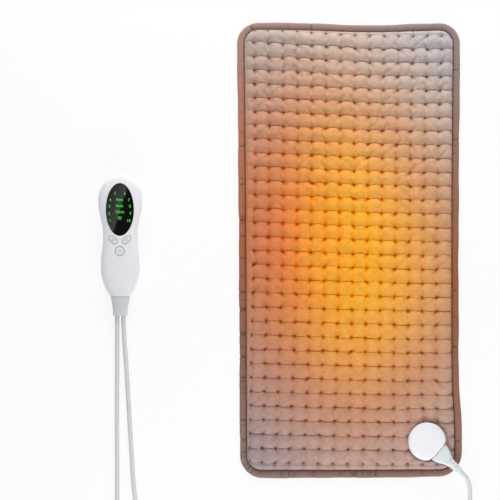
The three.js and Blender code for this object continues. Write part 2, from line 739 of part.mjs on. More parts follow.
// Half-width stations from the rounded head down to the seam, drawn in by an inset
function bodyStations(inset) {
  const head = HEAD_WIDTH / 2;
  const headAt = BODY_LENGTH - HEAD_LENGTH;
  const stations = [];
  for (let i = 0; i <= 6; i += 1) {
    const turn = (Math.PI / 2) * (1 - i / 6);
    const y = headAt + (HEAD_LENGTH - inset) * Math.sin(turn);
    stations.push({ y, half: (head - inset) * Math.cos(turn), share: Math.cos(turn) });
  }
  const waist = WAIST_WIDTH / 2;
  const belly = BELLY_WIDTH / 2;
  const neck = NECK_WIDTH / 2;
  const easeHead = (headAt - WAIST_AT) * 0.4;
  const easeWaist = (WAIST_AT - BELLY_AT) * 0.4;
  const curves = [
    [[head, headAt], [head, headAt - easeHead], [waist, WAIST_AT + easeHead], [waist, WAIST_AT]],
    [[waist, WAIST_AT], [waist, WAIST_AT - easeWaist], [belly, BELLY_AT + easeWaist], [belly, BELLY_AT]],
    [[belly, BELLY_AT], [belly, BELLY_AT * 0.65], [neck * 1.65, BELLY_AT * 0.3], [neck, 0]],
  ];
  for (const corners of curves) {
    const curve = new THREE.CubicBezierCurve(...corners.map(([half, y]) => new THREE.Vector2(half, y)));
    for (const p of curve.getPoints(4).slice(1)) {
      stations.push({ y: p.y, half: p.x - inset, share: p.x / head });
    }
  }
  return stations;
}

function bodySolid(inset, sides, pastSeam = 0) {
  const stations = bodyStations(inset);
  if (pastSeam > 0) stations.push({ ...stations.at(-1), y: -pastSeam });
  const rings = stations.map(({ y, half, share }) => {
    const dome = Math.max(share, 1e-9) ** DOME_POWER;
    const front = (FRONT_DEPTH - inset) * dome;
    const rear = (REAR_DEPTH - inset) * dome;
    const tip = half < 1e-6;
    return ovalRing(y, tip ? 0 : half, tip ? 0 : front, tip ? 0 : rear, PARTING, sides, SECTION_POWER);
  });
  return skin(rings);
}

function openings() {
  const ovalLeft = ellipse(OVAL_LENGTH / 2, OVAL_WIDTH / 2, -OVAL_OFFSET, OVAL_AT, -OVAL_TILT);
  const ovalRight = ellipse(OVAL_LENGTH / 2, OVAL_WIDTH / 2, OVAL_OFFSET, OVAL_AT, OVAL_TILT);
  const power = ellipse(POWER_DIAMETER / 2, POWER_DIAMETER / 2, 0, POWER_AT);
  const pane = ellipse(WINDOW_WIDTH / 2 + SEAT, WINDOW_LENGTH / 2 + SEAT, 0, WINDOW_AT);
  const shapes = [ovalLeft, ovalRight, power, pane];
  return shapes.map((shape) => prism(shape, PARTING + 1, OVER_FRONT, 10));
}

function buildHousings(group) {
  const outer = bodySolid(0, 24);
  const inner = bodySolid(SHELL, 16, 2);
  const wide = HEAD_WIDTH;
  const above = block(-wide, wide, -PAST, BODY_LENGTH + PAST, PARTING + PARTING_GAP / 2, OVER_FRONT);
  const below = block(-wide, wide, -PAST, BODY_LENGTH + PAST, 0, PARTING - PARTING_GAP / 2);
  const roomBelow = block(-wide, wide, -PAST, BODY_LENGTH + PAST, SHELL, OVER_FRONT);
  let front = outer.intersect(above).subtract(inner);
  let rear = outer.intersect(below).subtract(inner.intersect(roomBelow));

  const headTop = SCREW_SUNK + SCREW_HEAD_HEIGHT;
  const slot = SCREW_HEAD * 0.65;
  const wing = SCREW_HEAD * 0.18;
  const slotTop = SCREW_SUNK + SCREW_HEAD_HEIGHT * 0.5;
  const across = block(-slot, slot, -wing, wing, 0, slotTop);
  const cross = across.add(block(-wing, wing, -slot, slot, 0, slotTop));
  const screw = turned([
    [0, SCREW_SUNK], [SCREW_HEAD * 0.8, SCREW_SUNK], [SCREW_HEAD, SCREW_SUNK + SCREW_HEAD_HEIGHT / 3],
    [SCREW_HEAD, headTop], [SCREW_RADIUS, headTop], [SCREW_RADIUS, headTop + SCREW_LENGTH - 2],
    [0, headTop + SCREW_LENGTH],
  ], 12).subtract(cross);
  const topScrew = [0, BODY_LENGTH - TOP_SCREW_FROM_TOP];
  const lowScrews = [[-LOW_SCREW_X, LOW_SCREW_AT], [LOW_SCREW_X, LOW_SCREW_AT]];
  [topScrew, ...lowScrews].forEach(([x, y], i) => {
    const post = disc(x, y, BOSS_RADIUS, 0, OVER_FRONT, 16).intersect(outer);
    const shank = disc(x, y, SCREW_RADIUS + SCREW_FIT, 0, headTop + SCREW_LENGTH + 1, 10);
    const well = disc(x, y, SCREW_HEAD + SEAT, -1, headTop + SEAT, 14);
    front = front.add(post.intersect(above)).subtract(shank);
    rear = rear.add(post.intersect(below)).subtract(shank).subtract(well);
    piece(group, `housing_screw_${i + 1}`, moved(screw, x, y, 0), metal(STEEL));
  });

  const postX = BOARD_WIDTH / 2 - POST_INSET;
  for (const y of [BOARD_START + 1.5 * POST_INSET, BOARD_END - 6 * POST_INSET]) {
    for (const x of [-postX, postX]) {
      rear = rear.add(disc(x, y, BOARD_POST, SHELL / 2, BOARD_HEIGHT - SEAT, 12));
    }
  }
  const clampLow = CLAMP_AT - CLAMP_DEPTH / 2;
  const clampHigh = CLAMP_AT + CLAMP_DEPTH / 2;
  const cordBottom = PARTING - CORD_RADIUS;
  const cordTop = PARTING + CORD_RADIUS;
  const saddle = CORD_SPACING / 2 + CORD_RADIUS;
  rear = rear.add(block(-saddle, saddle, clampLow, clampHigh, SHELL / 2, cordBottom - SEAT));
  const barTop = cordTop + SEAT + CLAMP_BAR;
  const pin = CLAMP_SCREW / 2;
  const tip = barTop - CLAMP_SCREW_LENGTH;
  const clampScrew = turned([
    [0, tip], [pin, tip + 1], [pin, barTop + SEAT], [2 * pin, barTop + SEAT],
    [2 * pin, barTop + SEAT + 1], [1.4 * pin, barTop + SEAT + 1.5], [0, barTop + SEAT + 1.5],
  ], 12);
  const barEnd = CLAMP_SCREW_X + 2.5 * pin;
  let clamp = block(-barEnd, barEnd, clampLow, clampHigh, cordTop + SEAT, barTop);
  for (const [name, side] of [['clamp_screw_1', -1], ['clamp_screw_2', 1]]) {
    const x = side * CLAMP_SCREW_X;
    const post = disc(x, CLAMP_AT, CLAMP_POST, SHELL / 2, PARTING - PARTING_GAP / 2, 14);
    const bore = disc(x, CLAMP_AT, pin + SCREW_FIT, tip - SEAT, OVER_FRONT, 10);
    rear = rear.add(post).subtract(bore);
    clamp = clamp.subtract(bore);
    piece(group, name, moved(clampScrew, x, CLAMP_AT, 0), metal(STEEL));
  }
  piece(group, 'cord_clamp', clamp, plastic(0xd0d2d4));

  for (const hole of openings()) front = front.subtract(hole);
  piece(group, 'front_housing', front, plastic(WHITE));
  piece(group, 'rear_housing', rear, plastic(WHITE));
}

function buildDisplay(group) {
  const outer = bodySolid(0, 24);
  const outline = ellipse(WINDOW_WIDTH / 2, WINDOW_LENGTH / 2, 0, WINDOW_AT);
  const pane = prism(outline, LENS_BOTTOM, OVER_FRONT, 10);
  piece(group, 'display_window', outer.intersect(pane), plastic(BLACK));
  const halfWidth = WINDOW_WIDTH / 2 - 1.4;
  const halfLength = WINDOW_LENGTH / 2 - 1.4;
  const filmBottom = LENS_BOTTOM - SEAT / 3 - FILM;
  const film = prism(ellipse(halfWidth, halfLength, 0, WINDOW_AT), filmBottom, filmBottom + FILM, 8);
  piece(group, 'legend_film', film, plastic(0x1b1d1b));

  let display = prism(ellipse(halfWidth, halfLength, 0, WINDOW_AT), BOARD_TOP, filmBottom, 8);
  const wells = [];
  for (let i = 0; i < 5; i += 1) {
    const turn = ((i - 2) * 33 * Math.PI) / 180;
    const x = halfWidth * 0.78 * Math.cos(turn);
    const y = WINDOW_AT + halfLength * 0.62 * Math.sin(turn);
    wells.push([-x, y, 2.2, 2.4], [x, y, 2.2, 2.4]);
  }
  for (const row of [0.36, 0.12, -0.12, -0.36]) wells.push([0, WINDOW_AT + halfLength * row, 6, 2.4]);
  for (const [x, y, halfX, halfY] of wells) {
    const well = block(x - halfX, x + halfX, y - halfY, y + halfY, BOARD_TOP + 2, filmBottom + 1);
    display = display.subtract(well);
  }
  piece(group, 'led_display', display, plastic(0xdfe3df));
}

// A button: a cap in its hole, a flange that keeps it in and a stem over its switch
function button(halfLength, halfWidth, x, y, turn, raised) {
  const cap = ellipse(halfLength - SEAT, halfWidth - SEAT, x, y, turn);
  const skirt = ellipse(halfLength + FLANGE, halfWidth + FLANGE, x, y, turn);
  const top = prism(cap, FLANGE_TOP - 1, OVER_FRONT, 10).intersect(raised);
  const flange = prism(skirt, FLANGE_TOP - 1.5, FLANGE_TOP, 10);
  const stem = disc(x, y, PLUNGER_RADIUS + 0.3, PLUNGER_TOP + SEAT, FLANGE_TOP - 1, 12);
  return top.add(flange).add(stem);
}

function buildButtons(group) {
  const raised = moved(bodySolid(0, 24), 0, 0, BUTTON_PROUD);
  const oval = [OVAL_LENGTH / 2, OVAL_WIDTH / 2];
  const round = [POWER_DIAMETER / 2, POWER_DIAMETER / 2];
  const buttons = [
    ['level', oval, -OVAL_OFFSET, OVAL_AT, -OVAL_TILT],
    ['timer', oval, OVAL_OFFSET, OVAL_AT, OVAL_TILT],
    ['power', round, 0, POWER_AT, 0],
  ];
  const side = SWITCH_SIDE / 2;
  const boreBottom = SWITCH_TOP - BUTTON_TRAVEL - 0.8;
  for (const [name, [halfLength, halfWidth], x, y, turn] of buttons) {
    piece(group, `${name}_button`, button(halfLength, halfWidth, x, y, turn, raised), plastic(0xdfe2e5));
    const body = block(x - side, x + side, y - side, y + side, BOARD_TOP, SWITCH_TOP);
    const bore = disc(x, y, PLUNGER_RADIUS + SEAT, boreBottom, SWITCH_TOP + 1, 14);
    piece(group, `${name}_switch`, body.subtract(bore), plastic(0x26282b));
    const plunger = disc(x, y, PLUNGER_RADIUS, boreBottom + BUTTON_TRAVEL + 0.1, PLUNGER_TOP, 14);
    piece(group, `${name}_plunger`, plunger, plastic(0xcfa98c));
  }
}

// A boxed component centred on a place and standing on a level
function boxed(x, y, [width, length, height], level) {
  return block(x - width / 2, x + width / 2, y - length / 2, y + length / 2, level, level + height);
}

function buildBoard(group) {
  const half = BOARD_WIDTH / 2;
  const r = BOARD_CORNER;
  const outline = new THREE.Shape();
  outline.moveTo(half, BOARD_START + r);
  outline.lineTo(half, BOARD_END - r);
  outline.absarc(half - r, BOARD_END - r, r, 0, Math.PI / 2, false);
  outline.lineTo(-half + r, BOARD_END);
  outline.absarc(-half + r, BOARD_END - r, r, Math.PI / 2, Math.PI, false);
  outline.lineTo(-half, BOARD_START + r);
  outline.absarc(-half + r, BOARD_START + r, r, Math.PI, 1.5 * Math.PI, false);
  outline.lineTo(half - r, BOARD_START);
  outline.absarc(half - r, BOARD_START + r, r, 1.5 * Math.PI, 2 * Math.PI, false);
  piece(group, 'main_board', prism(outline, BOARD_HEIGHT, BOARD_TOP, 3), plastic(0x2f6b3c));

  const y = BOARD_START + 7;
  const can = disc(CAN_X, y, CAN_RADIUS, BOARD_TOP, BOARD_TOP + CAN_HEIGHT, 16);
  const triacX = CAN_X + CAN_RADIUS + SEAT + TRIAC[0] / 2;
  const chipLevel = BOARD_HEIGHT - CHIP[2];
  const chipY = (BOARD_START + BOARD_END) / 2 + CHIP[1];
  piece(group, 'film_capacitor', boxed(-CAN_X, y, FILM_CAPACITOR, BOARD_TOP), plastic(0xd9b23a));
  piece(group, 'can_capacitor', can, plastic(0x23262c));
  piece(group, 'power_triac', boxed(triacX, y, TRIAC, BOARD_TOP), plastic(0x17181a));
  piece(group, 'control_chip', boxed(0, chipY, CHIP, chipLevel), plastic(0x151618));
}

function buildCollar(group) {
  const neck = NECK_WIDTH / 2;
  const dome = (neck / (HEAD_WIDTH / 2)) ** DOME_POWER;
  const above = FRONT_DEPTH * dome;
  const below = REAR_DEPTH * dome;
  const end = COLLAR_END_WIDTH / 2;
  const endHigh = COLLAR_END_HEIGHT / 2;
  const taper = new THREE.QuadraticBezierCurve(
    new THREE.Vector2(0, 0),
    new THREE.Vector2(0.97, COLLAR_LENGTH * 0.4),
    new THREE.Vector2(1, COLLAR_LENGTH),
  );
  const rings = taper.getPoints(6).map((p) => {
    const half = THREE.MathUtils.lerp(neck, end, p.x);
    const high = THREE.MathUtils.lerp(above, endHigh, p.x);
    const low = THREE.MathUtils.lerp(below, endHigh, p.x);
    return ovalRing(-SEAT - p.y * (1 - SEAT / COLLAR_LENGTH), half, high, low, PARTING, 20, 2.5);
  });
  const draw = SHELL + SEAT;
  const ringAt = (y) => ovalRing(y, neck - draw, above - draw, below - draw, PARTING, 20, SECTION_POWER);
  let collar = skin(rings).add(skin([ringAt(SPIGOT), ringAt(-2)]));
  for (const side of [-1, 1]) {
    const way = new THREE.CylinderGeometry(CORD_FIT, CORD_FIT, COLLAR_LENGTH + SPIGOT + 4, 12);
    way.translate((side * CORD_SPACING) / 2, (SPIGOT - COLLAR_LENGTH) / 2, PARTING);
    collar = collar.subtract(solid(way));
  }
  piece(group, 'cord_collar', collar, plastic(WHITE));
}

// Cords: points chosen by hand, with their ends on the pieces they meet

function plugPoint(reach) {
  return [
    SOCKET_X + reach * Math.cos(PLUG_ANGLE),
    SOCKET_Y + reach * Math.sin(PLUG_ANGLE),
    SOCKET_Z + TONGUE_Z,
  ];
}

function padCordPlaces() {
  return [
    [PAD_CORD_X, CORD_START_Y, PARTING],
    [PAD_CORD_X, CONTROLLER_Y, PARTING],
    [PAD_CORD_X, COLLAR_Y, PARTING],
    [PAD_CORD_X + 0.4, -100, 11],
    [-295.6, -122, 7.2],
    [-293.6, -150, 3.6],
    [-291.2, -190, 3],
    [-288.8, -230, 3],
    [-286.4, -270, 3],
    [-284.2, -305, 3],
    [-280, -336, 3],
    [-266, -364, 3],
    [-240, -379, 3],
    [-208, -381, 3],
    [-178, -370, 3],
    [-150, -354, 3],
    [-116, -350, 3],
    [-88, -367, 3],
    [-68, -394, 3],
    [-36, -412, 3],
    [-2, -402, 3],
    [20, -376, 3],
    [48, -354, 3],
    [82, -357, 3],
    [106, -373, 3],
    [132, -378, 3],
    [151, -367, 3],
    [159.4, -350, 3],
    [160.8, -333, 3.3],
    [160.3, -320.5, 5.8],
    [158.6, -309.5, 10],
    [155.4, -301.6, 13.4],
    plugPoint(PLUG_END + CORD),
    plugPoint(PLUG_END + SEAT),
  ];
}

function mainsLeadPlaces() {
  return [
    [MAINS_CORD_X, CORD_START_Y, PARTING],
    [MAINS_CORD_X, CONTROLLER_Y, PARTING],
    [MAINS_CORD_X, COLLAR_Y, PARTING],
    [MAINS_CORD_X, -100, 11],
    [MAINS_CORD_X - 0.2, -122, 7.2],
    [MAINS_CORD_X - 0.4, -150, 3.6],
    [MAINS_CORD_X - 0.6, -190, 3],
    [MAINS_CORD_X - 0.6, -240, 3],
    [MAINS_CORD_X - 0.4, -290, 3],
    [MAINS_CORD_X - 0.2, -340, 3],
    [MAINS_CORD_X, -385, 3.4],
    [MAINS_CORD_X, -415, COIL_LOW],
    [MAINS_CORD_X, COIL_Y + CORD + SEAT, COIL_LOW],
  ];
}

// The coil enters at its left side heading down, turns in, climbs a layer and turns out again
function coilPoints() {
  const turns = TURNS_IN + TURNS_OUT;
  const steps = Math.round(turns * 24);
  const points = [new THREE.Vector3(MAINS_CORD_X, COIL_Y + CORD, COIL_LOW)];
  for (let i = 0; i <= steps; i += 1) {
    const turned = (turns * i) / steps;
    const radius = COIL_INNER + COIL_PITCH * Math.abs(turned - TURNS_IN);
    const climb = THREE.MathUtils.smoothstep(turned, TURNS_IN - 0.25, TURNS_IN + 0.25);
    const angle = Math.PI + 2 * Math.PI * turned;
    const x = COIL_X + radius * Math.cos(angle);
    const y = COIL_Y + radius * Math.sin(angle);
    points.push(new THREE.Vector3(x, y, THREE.MathUtils.lerp(COIL_LOW, COIL_HIGH, climb)));
  }
  points.push(new THREE.Vector3(COIL_X + CORD, MAINS_Y, COIL_HIGH));
  return points;
}

// The least gap between stretches of one tube that lie more than half a turn apart along it
function leastSelfGap(points, diameter, skip) {
  let least = Infinity;
  for (let i = 0; i < points.length; i += 1) {
    for (let j = i + skip; j < points.length; j += 1) {
      least = Math.min(least, points[i].distanceTo(points[j]));
    }
  }
  return least - diameter;
}

function lengthOf(points) {
  return points.slice(1).reduce((sum, p, i) => sum + p.distanceTo(points[i]), 0);
}

function buildCords(group) {
  const padCord = cordAlong(padCordPlaces(), 17);
  const lead = cordAlong(mainsLeadPlaces(), 18);
  const loops = coilPoints();
  const tail = cordAlong([
    [COIL_X + CORD + SEAT, MAINS_Y, COIL_HIGH],
    [COIL_X + CORD + 8, MAINS_Y, COIL_HIGH],
    [(COIL_X + MAINS_X) / 2 + 5, MAINS_Y, (COIL_HIGH + MAINS_Z) / 2],
    [MAINS_X - CORD, MAINS_Y, MAINS_Z],
    [MAINS_X - SEAT, MAINS_Y, MAINS_Z],
  ], 12);
  piece(group, 'pad_cord', padCord.shape, plastic(CORD_WHITE));
  piece(group, 'mains_cord_lead', lead.shape, plastic(CORD_WHITE));
  piece(group, 'mains_cord_coil', bar(loops, CORD_RADIUS, 6), plastic(CORD_WHITE));
  piece(group, 'mains_cord_tail', tail.shape, plastic(CORD_WHITE));
  console.log('coil least gap to itself, mm:', leastSelfGap(loops, CORD, 12).toFixed(2));
  console.log('pad cord, mm:', padCord.length.toFixed(0));
  console.log('mains lead, mm:', (lead.length + lengthOf(loops) + tail.length).toFixed(0));
}

// A cloth tie round all turns of the coil, standing across them
function buildTie(group) {
  const inner = COIL_INNER - CORD_RADIUS - COIL_PITCH / 2 - SEAT;
  const outer = COIL_INNER + COIL_PITCH * Math.max(TURNS_IN, TURNS_OUT) + CORD_RADIUS + SEAT;
  const top = COIL_HIGH + CORD_RADIUS + SEAT;
  const bottom = COIL_LIFT - SEAT;
  const half = TIE_WIDTH / 2;
  const outside = block(inner - TIE, outer + TIE, -half, half, bottom - TIE, top + TIE);
  const room = block(inner, outer, -half - 1, half + 1, bottom, top);
  const tie = geometryOf(outside.subtract(room)).rotateZ(TIE_ANGLE).translate(COIL_X, COIL_Y, 0);
  piece(group, 'cord_tie', solid(tie), cloth(0xd9d9d6));
}

function buildMainsPlug(group) {
  const start = MAINS_X + MAINS_RELIEF + SEAT;
  const face = start + MAINS_LENGTH;
  const halfWidth = MAINS_WIDTH / 2;
  const halfHeight = MAINS_HEIGHT / 2;
  const rings = [
    plugRing(start, halfWidth * 0.5, halfHeight * 0.62, MAINS_Z, 20, 3),
    plugRing(start + 3, halfWidth * 0.72, halfHeight * 0.86, MAINS_Z, 20, 3),
    plugRing(start + 9, halfWidth * 0.9, halfHeight, MAINS_Z, 20, 3.4),
    plugRing(face - 5, halfWidth, halfHeight, MAINS_Z, 20, 3.6),
    plugRing(face, halfWidth * 0.94, halfHeight * 0.94, MAINS_Z, 20, 3.6),
  ];
  let body = moved(skin(rings), 0, MAINS_Y, 0);
  const blades = [['mains_blade_live', -1, LIVE_BLADE], ['mains_blade_neutral', 1, NEUTRAL_BLADE]];
  for (const [name, side, width] of blades) {
    const y = MAINS_Y + (side * BLADE_SPACING) / 2;
    const wide = BLADE / 2;
    const low = MAINS_Z - width / 2;
    const high = MAINS_Z + width / 2;
    const held = face - BLADE_HELD;
    const tip = face + BLADE_LENGTH;
    const room = wide + SEAT;
    body = body.subtract(block(held - SEAT, tip, y - room, y + room, low - SEAT, high + SEAT));
    const hole = new THREE.CylinderGeometry(BLADE_HOLE, BLADE_HOLE, 4 * BLADE, 12);
    hole.translate(tip - BLADE_HOLE_IN, y, MAINS_Z);
    const blade = block(held, tip, y - wide, y + wide, low, high).subtract(solid(hole));
    piece(group, name, blade, metal(0xc8c3b6));
  }
  piece(group, 'mains_plug', body, plastic(WHITE));

  const seatRadius = MAINS_RELIEF_RADIUS;
  const endRadius = CORD_RADIUS + 1;
  const relief = laidAlongX(turned([
    [0, 0], [endRadius, 0], [endRadius + 0.3, MAINS_RELIEF * 0.5], [seatRadius, MAINS_RELIEF * 0.86],
    [seatRadius, MAINS_RELIEF], [0, MAINS_RELIEF],
  ], 14));
  piece(group, 'mains_relief', moved(relief, MAINS_X, MAINS_Y, MAINS_Z), plastic(WHITE));
}

// Assembly

const model = new THREE.Group();
model.name = 'heating_pad_with_controller';

const padGroup = new THREE.Group();
buildPad(padGroup);
model.add(padGroup);

const socketGroup = new THREE.Group();
socketGroup.position.set(SOCKET_X, SOCKET_Y, SOCKET_Z);
socketGroup.rotation.z = PLUG_ANGLE;
buildSocket(socketGroup);
buildPlug(socketGroup);
model.add(socketGroup);

const controller = new THREE.Group();
controller.position.set(CONTROLLER_X, CONTROLLER_Y, 0);
buildHousings(controller);
buildDisplay(controller);
buildButtons(controller);
buildBoard(controller);
buildCollar(controller);
model.add(controller);

const leads = new THREE.Group();
buildCords(leads);
buildTie(leads);
buildMainsPlug(leads);
model.add(leads);

export default model;
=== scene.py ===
# %% [markdown]
# # Heating pad with a hand controller
#
# A quilted cloth pad with a bound edge, a moulded hand controller, the cord between the two and a mains lead.
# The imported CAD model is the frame, and every piece made here goes where a CAD node already is.
# All lengths below are in millimetres, as in the part's source, and become metres when a mesh is made.

# %% Load the frame and keep the CAD box
import json

import bmesh
import bpy
import numpy as np
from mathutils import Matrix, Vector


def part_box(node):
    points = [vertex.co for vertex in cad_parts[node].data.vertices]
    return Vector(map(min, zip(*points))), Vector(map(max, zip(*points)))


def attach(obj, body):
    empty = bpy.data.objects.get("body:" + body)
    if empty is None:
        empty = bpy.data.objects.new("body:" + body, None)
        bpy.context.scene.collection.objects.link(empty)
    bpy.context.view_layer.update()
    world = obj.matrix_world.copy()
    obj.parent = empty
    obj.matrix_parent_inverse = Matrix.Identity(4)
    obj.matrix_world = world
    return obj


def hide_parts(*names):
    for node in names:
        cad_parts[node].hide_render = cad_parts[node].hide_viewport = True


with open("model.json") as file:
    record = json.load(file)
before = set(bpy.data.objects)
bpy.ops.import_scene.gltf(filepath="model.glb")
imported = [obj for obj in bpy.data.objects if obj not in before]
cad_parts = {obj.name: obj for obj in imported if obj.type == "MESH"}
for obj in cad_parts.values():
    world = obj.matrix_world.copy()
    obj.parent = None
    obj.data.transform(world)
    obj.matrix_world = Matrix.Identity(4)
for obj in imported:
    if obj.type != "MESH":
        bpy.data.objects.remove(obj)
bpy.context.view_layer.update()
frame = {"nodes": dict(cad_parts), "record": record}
scene = bpy.context.scene
scene.view_settings.view_transform = "Standard"
MM = 0.001

# %% [markdown]
# ## Camera
#
# The photograph looks straight down on the pad with almost no perspective, as a catalogue picture does.
# An orthographic camera would show the same, but a real lens far away also works for views from the side.
# So the camera stands 4 m above the pad with a long lens, and its frame is 660 mm wide at the pad's top.

# %% Camera above the pad
VIEW_WIDTH = 659.6
VIEW_CENTRE = (-130.0, -0.7)
EYE_HEIGHT = 4000.0
PAD_TOP = 8.0

eye = bpy.data.cameras.new("camera")
eye.sensor_width = 36.0
eye.lens = eye.sensor_width * (EYE_HEIGHT - PAD_TOP) / VIEW_WIDTH
camera = bpy.data.objects.new("camera", eye)
camera.location = (VIEW_CENTRE[0] * MM, VIEW_CENTRE[1] * MM, EYE_HEIGHT * MM)
scene.collection.objects.link(camera)
scene.camera = camera
print("lens", round(eye.lens, 1), "mm")

# %% [markdown]
# ## Tools for the materials
#
# Colours are written as sRGB hex values, as a colour picker shows them, and Blender wants linear light.
# One function turns them, one adds a node with its options and links, and one links a material's colour
# and bump to its shader. Most pieces are moulded or extruded, so they share one recipe.

# %% Colour and node helpers
# How far the grain of a moulded skin lifts it, in mm
GRAIN_DEPTH = 0.08


def linear(colour):
    """An sRGB colour as linear light: c / 12.92 for a dark channel, else ((c + 0.055) / 1.055) ^ 2.4."""
    channel = np.array([int(colour[k : k + 2], 16) for k in (1, 3, 5)]) / 255
    light = np.where(channel <= 0.04045, channel / 12.92, ((channel + 0.055) / 1.055) ** 2.4)
    return (*light.tolist(), 1.0)


def add_node(material, kind, inputs=None, stops=None, **options):
    """Adds a node: options set it, inputs are values or links, stops are a ramp's places and colours."""
    tree = material.node_tree
    node = tree.nodes.new("ShaderNode" + kind)
    for option, value in options.items():
        setattr(node, option, value)
    for socket, value in (inputs or {}).items():
        if isinstance(value, bpy.types.NodeSocket):
            tree.links.new(value, node.inputs[socket])
        else:
            node.inputs[socket].default_value = value
    if stops:
        ramp = node.color_ramp.elements
        ramp[0].position, ramp[0].color = stops[0][0], linear(stops[0][1])
        ramp[1].position, ramp[1].color = stops[-1][0], linear(stops[-1][1])
        for place, colour in stops[1:-1]:
            ramp.new(place).color = linear(colour)
    return node


def start_material(name, **sockets):
    """A material with one Principled shader whose sockets hold the given constants; _ stands for a space."""
    material = bpy.data.materials.new(name)
    material.use_nodes = True
    shader = material.node_tree.nodes["Principled BSDF"]
    for socket, value in sockets.items():
        shader.inputs[socket.replace("_", " ")].default_value = value
    return material


def dress(material, colour, height, strength, distance):
    """Links a colour to a material's shader, and a bump of the given height, strength and distance in mm."""
    tree = material.node_tree
    shader = tree.nodes["Principled BSDF"]
    lift = add_node(material, "Bump", {"Strength": strength, "Distance": distance * MM, "Height": height})
    tree.links.new(colour, shader.inputs["Base Color"])
    tree.links.new(lift.outputs[0], shader.inputs["Normal"])


def moulded(name, colour, grain, shade=0.03, bump=0.15, **sockets):
    """A moulded or extruded skin: noise of the given grain, in mm, shifts its tone and lifts its surface."""
    material = start_material(name, **sockets)
    place = add_node(material, "TexCoord").outputs["Object"]
    grains = {"Vector": place, "Scale": 1 / (grain * MM), "Detail": 3.0}
    noise = add_node(material, "TexNoise", grains).outputs[0]
    tone = add_node(material, "MapRange", {"Value": noise, 1: 0.3, 2: 0.7, 3: 1 - shade, 4: 1.0})
    skin = add_node(material, "HueSaturation", {"Color": linear(colour), "Value": tone.outputs[0]})
    dress(material, skin.outputs[0], noise, bump, GRAIN_DEPTH)
    return material


# %% [markdown]
# ## The two cords
#
# The cords come first, because where they lie decides how much room the whole part takes.
# Each is white PVC, extruded round a pair of wires, and each follows the route that its CAD solid has.
# A smooth line goes through the route's places, and Blender's curve bevel carries a circle along that line.
# The bevel is used here because a cord is one spline, whose own line is then its length.

# %% Cord material and a smooth line through places
# Soft PVC, extruded: satin skin with a faint unevenness from the die, some 6 mm long
cord_pvc = moulded("extruded_pvc", "#D6D7DA", 6.0, Roughness=0.42, IOR=1.53)


def smooth_line(places, step):
    """A smooth line: cubic Hermite pieces over the square root of the distance from place to place.

    Each tangent is the slope between a place's neighbours. The line is cut at an even step of its length.
    """
    place = np.asarray(places, float)
    gaps = np.linalg.norm(np.diff(place, axis=0), axis=1)
    knot = np.concatenate([[0], np.cumsum(np.sqrt(gaps))])
    slope = np.gradient(place, knot, axis=0)
    fine = np.linspace(0, knot[-1], 30 * len(place))
    k = np.clip(np.searchsorted(knot, fine, side="right") - 1, 0, len(place) - 2)
    span = (knot[k + 1] - knot[k])[:, None]
    u = (fine - knot[k])[:, None] / span
    line = (
        (2 * u**3 - 3 * u**2 + 1) * place[k]
        + (u**3 - 2 * u**2 + u) * span * slope[k]
        + (3 * u**2 - 2 * u**3) * place[k + 1]
        + (u**3 - u**2) * span * slope[k + 1]
    )
    run = np.concatenate([[0], np.cumsum(np.linalg.norm(np.diff(line, axis=0), axis=1))])
    even = np.linspace(0, run[-1], round(run[-1] / step) + 1)
    return np.stack([np.interp(even, run, line[:, axis]) for axis in range(3)], axis=1)


def lay_cord(name, line, diameter, body, *nodes):
    """A round cord: one open spline through a line's points, along which a circle is carried."""
    curve = bpy.data.curves.new(name, "CURVE")
    curve.dimensions = "3D"
    curve.bevel_depth = diameter / 2 * MM
    curve.bevel_resolution = 5
    curve.use_fill_caps = True
    spline = curve.splines.new("POLY")
    spline.points.add(len(line) - 1)
    spline.points.foreach_set("co", np.column_stack([line * MM, np.ones(len(line))]).ravel())
    spline.use_smooth = True
    curve.materials.append(cord_pvc)
    cord = bpy.data.objects.new(name, curve)
    scene.collection.objects.link(cord)
    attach(cord, body)
    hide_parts(*nodes)
    length = np.linalg.norm(np.diff(line, axis=0), axis=1).sum()
    print(name, "length", round(length), "mm")
    return cord, length


# %% Pad cord, from the controller's collar to the plug on the pad
CORD = 6.0
CORD_STEP = 3.0
PLUG_TURN = np.radians(-42)
SOCKET = np.array([103.2, -252.9, 8.3])
PLUG_MIDDLE = 6.0


def on_plug_axis(along):
    """A place on the plug's axis: along mm out from the socket's centre, at the plug's own height."""
    return SOCKET + [along * np.cos(PLUG_TURN), along * np.sin(PLUG_TURN), PLUG_MIDDLE]


pad_cord_line = smooth_line(
    [
        (-296.9, -62, 12),
        (-296.9, -87, 12),
        (-296.5, -100, 11),
        (-295.6, -122, 7.2),
        (-293.6, -150, 3.6),
        (-291.2, -190, 3),
        (-288.8, -230, 3),
        (-286.4, -270, 3),
        (-284.2, -305, 3),
        (-280, -336, 3),
        (-266, -364, 3),
        (-240, -379, 3),
        (-208, -381, 3),
        (-178, -370, 3),
        (-150, -354, 3),
        (-116, -350, 3),
        (-88, -367, 3),
        (-68, -394, 3),
        (-36, -412, 3),
        (-2, -402, 3),
        (20, -376, 3),
        (48, -354, 3),
        (82, -357, 3),
        (106, -373, 3),
        (132, -378, 3),
        (151, -367, 3),
        (159.4, -350, 3),
        (160.8, -333, 3.3),
        (160.3, -320.5, 5.8),
        (158.6, -309.5, 10),
        (155.4, -301.6, 13.4),
        on_plug_axis(64.6),
        on_plug_axis(58.0),
    ],
    CORD_STEP,
)
pad_cord, pad_cord_length = lay_cord("pad_cord_lay", pad_cord_line, CORD, "control_set", "pad_cord")

# %% Mains lead, straight out of view and then coiled
COIL = np.array([-260.04, -440.0])
COIL_INNER = 24.6
COIL_PITCH = 6.6
COIL_LEVEL = 4.4
TURNS_IN = 3.1
TURNS = 6.25
CLIMB_START = 2.85
CLIMB_TURNS = 0.5


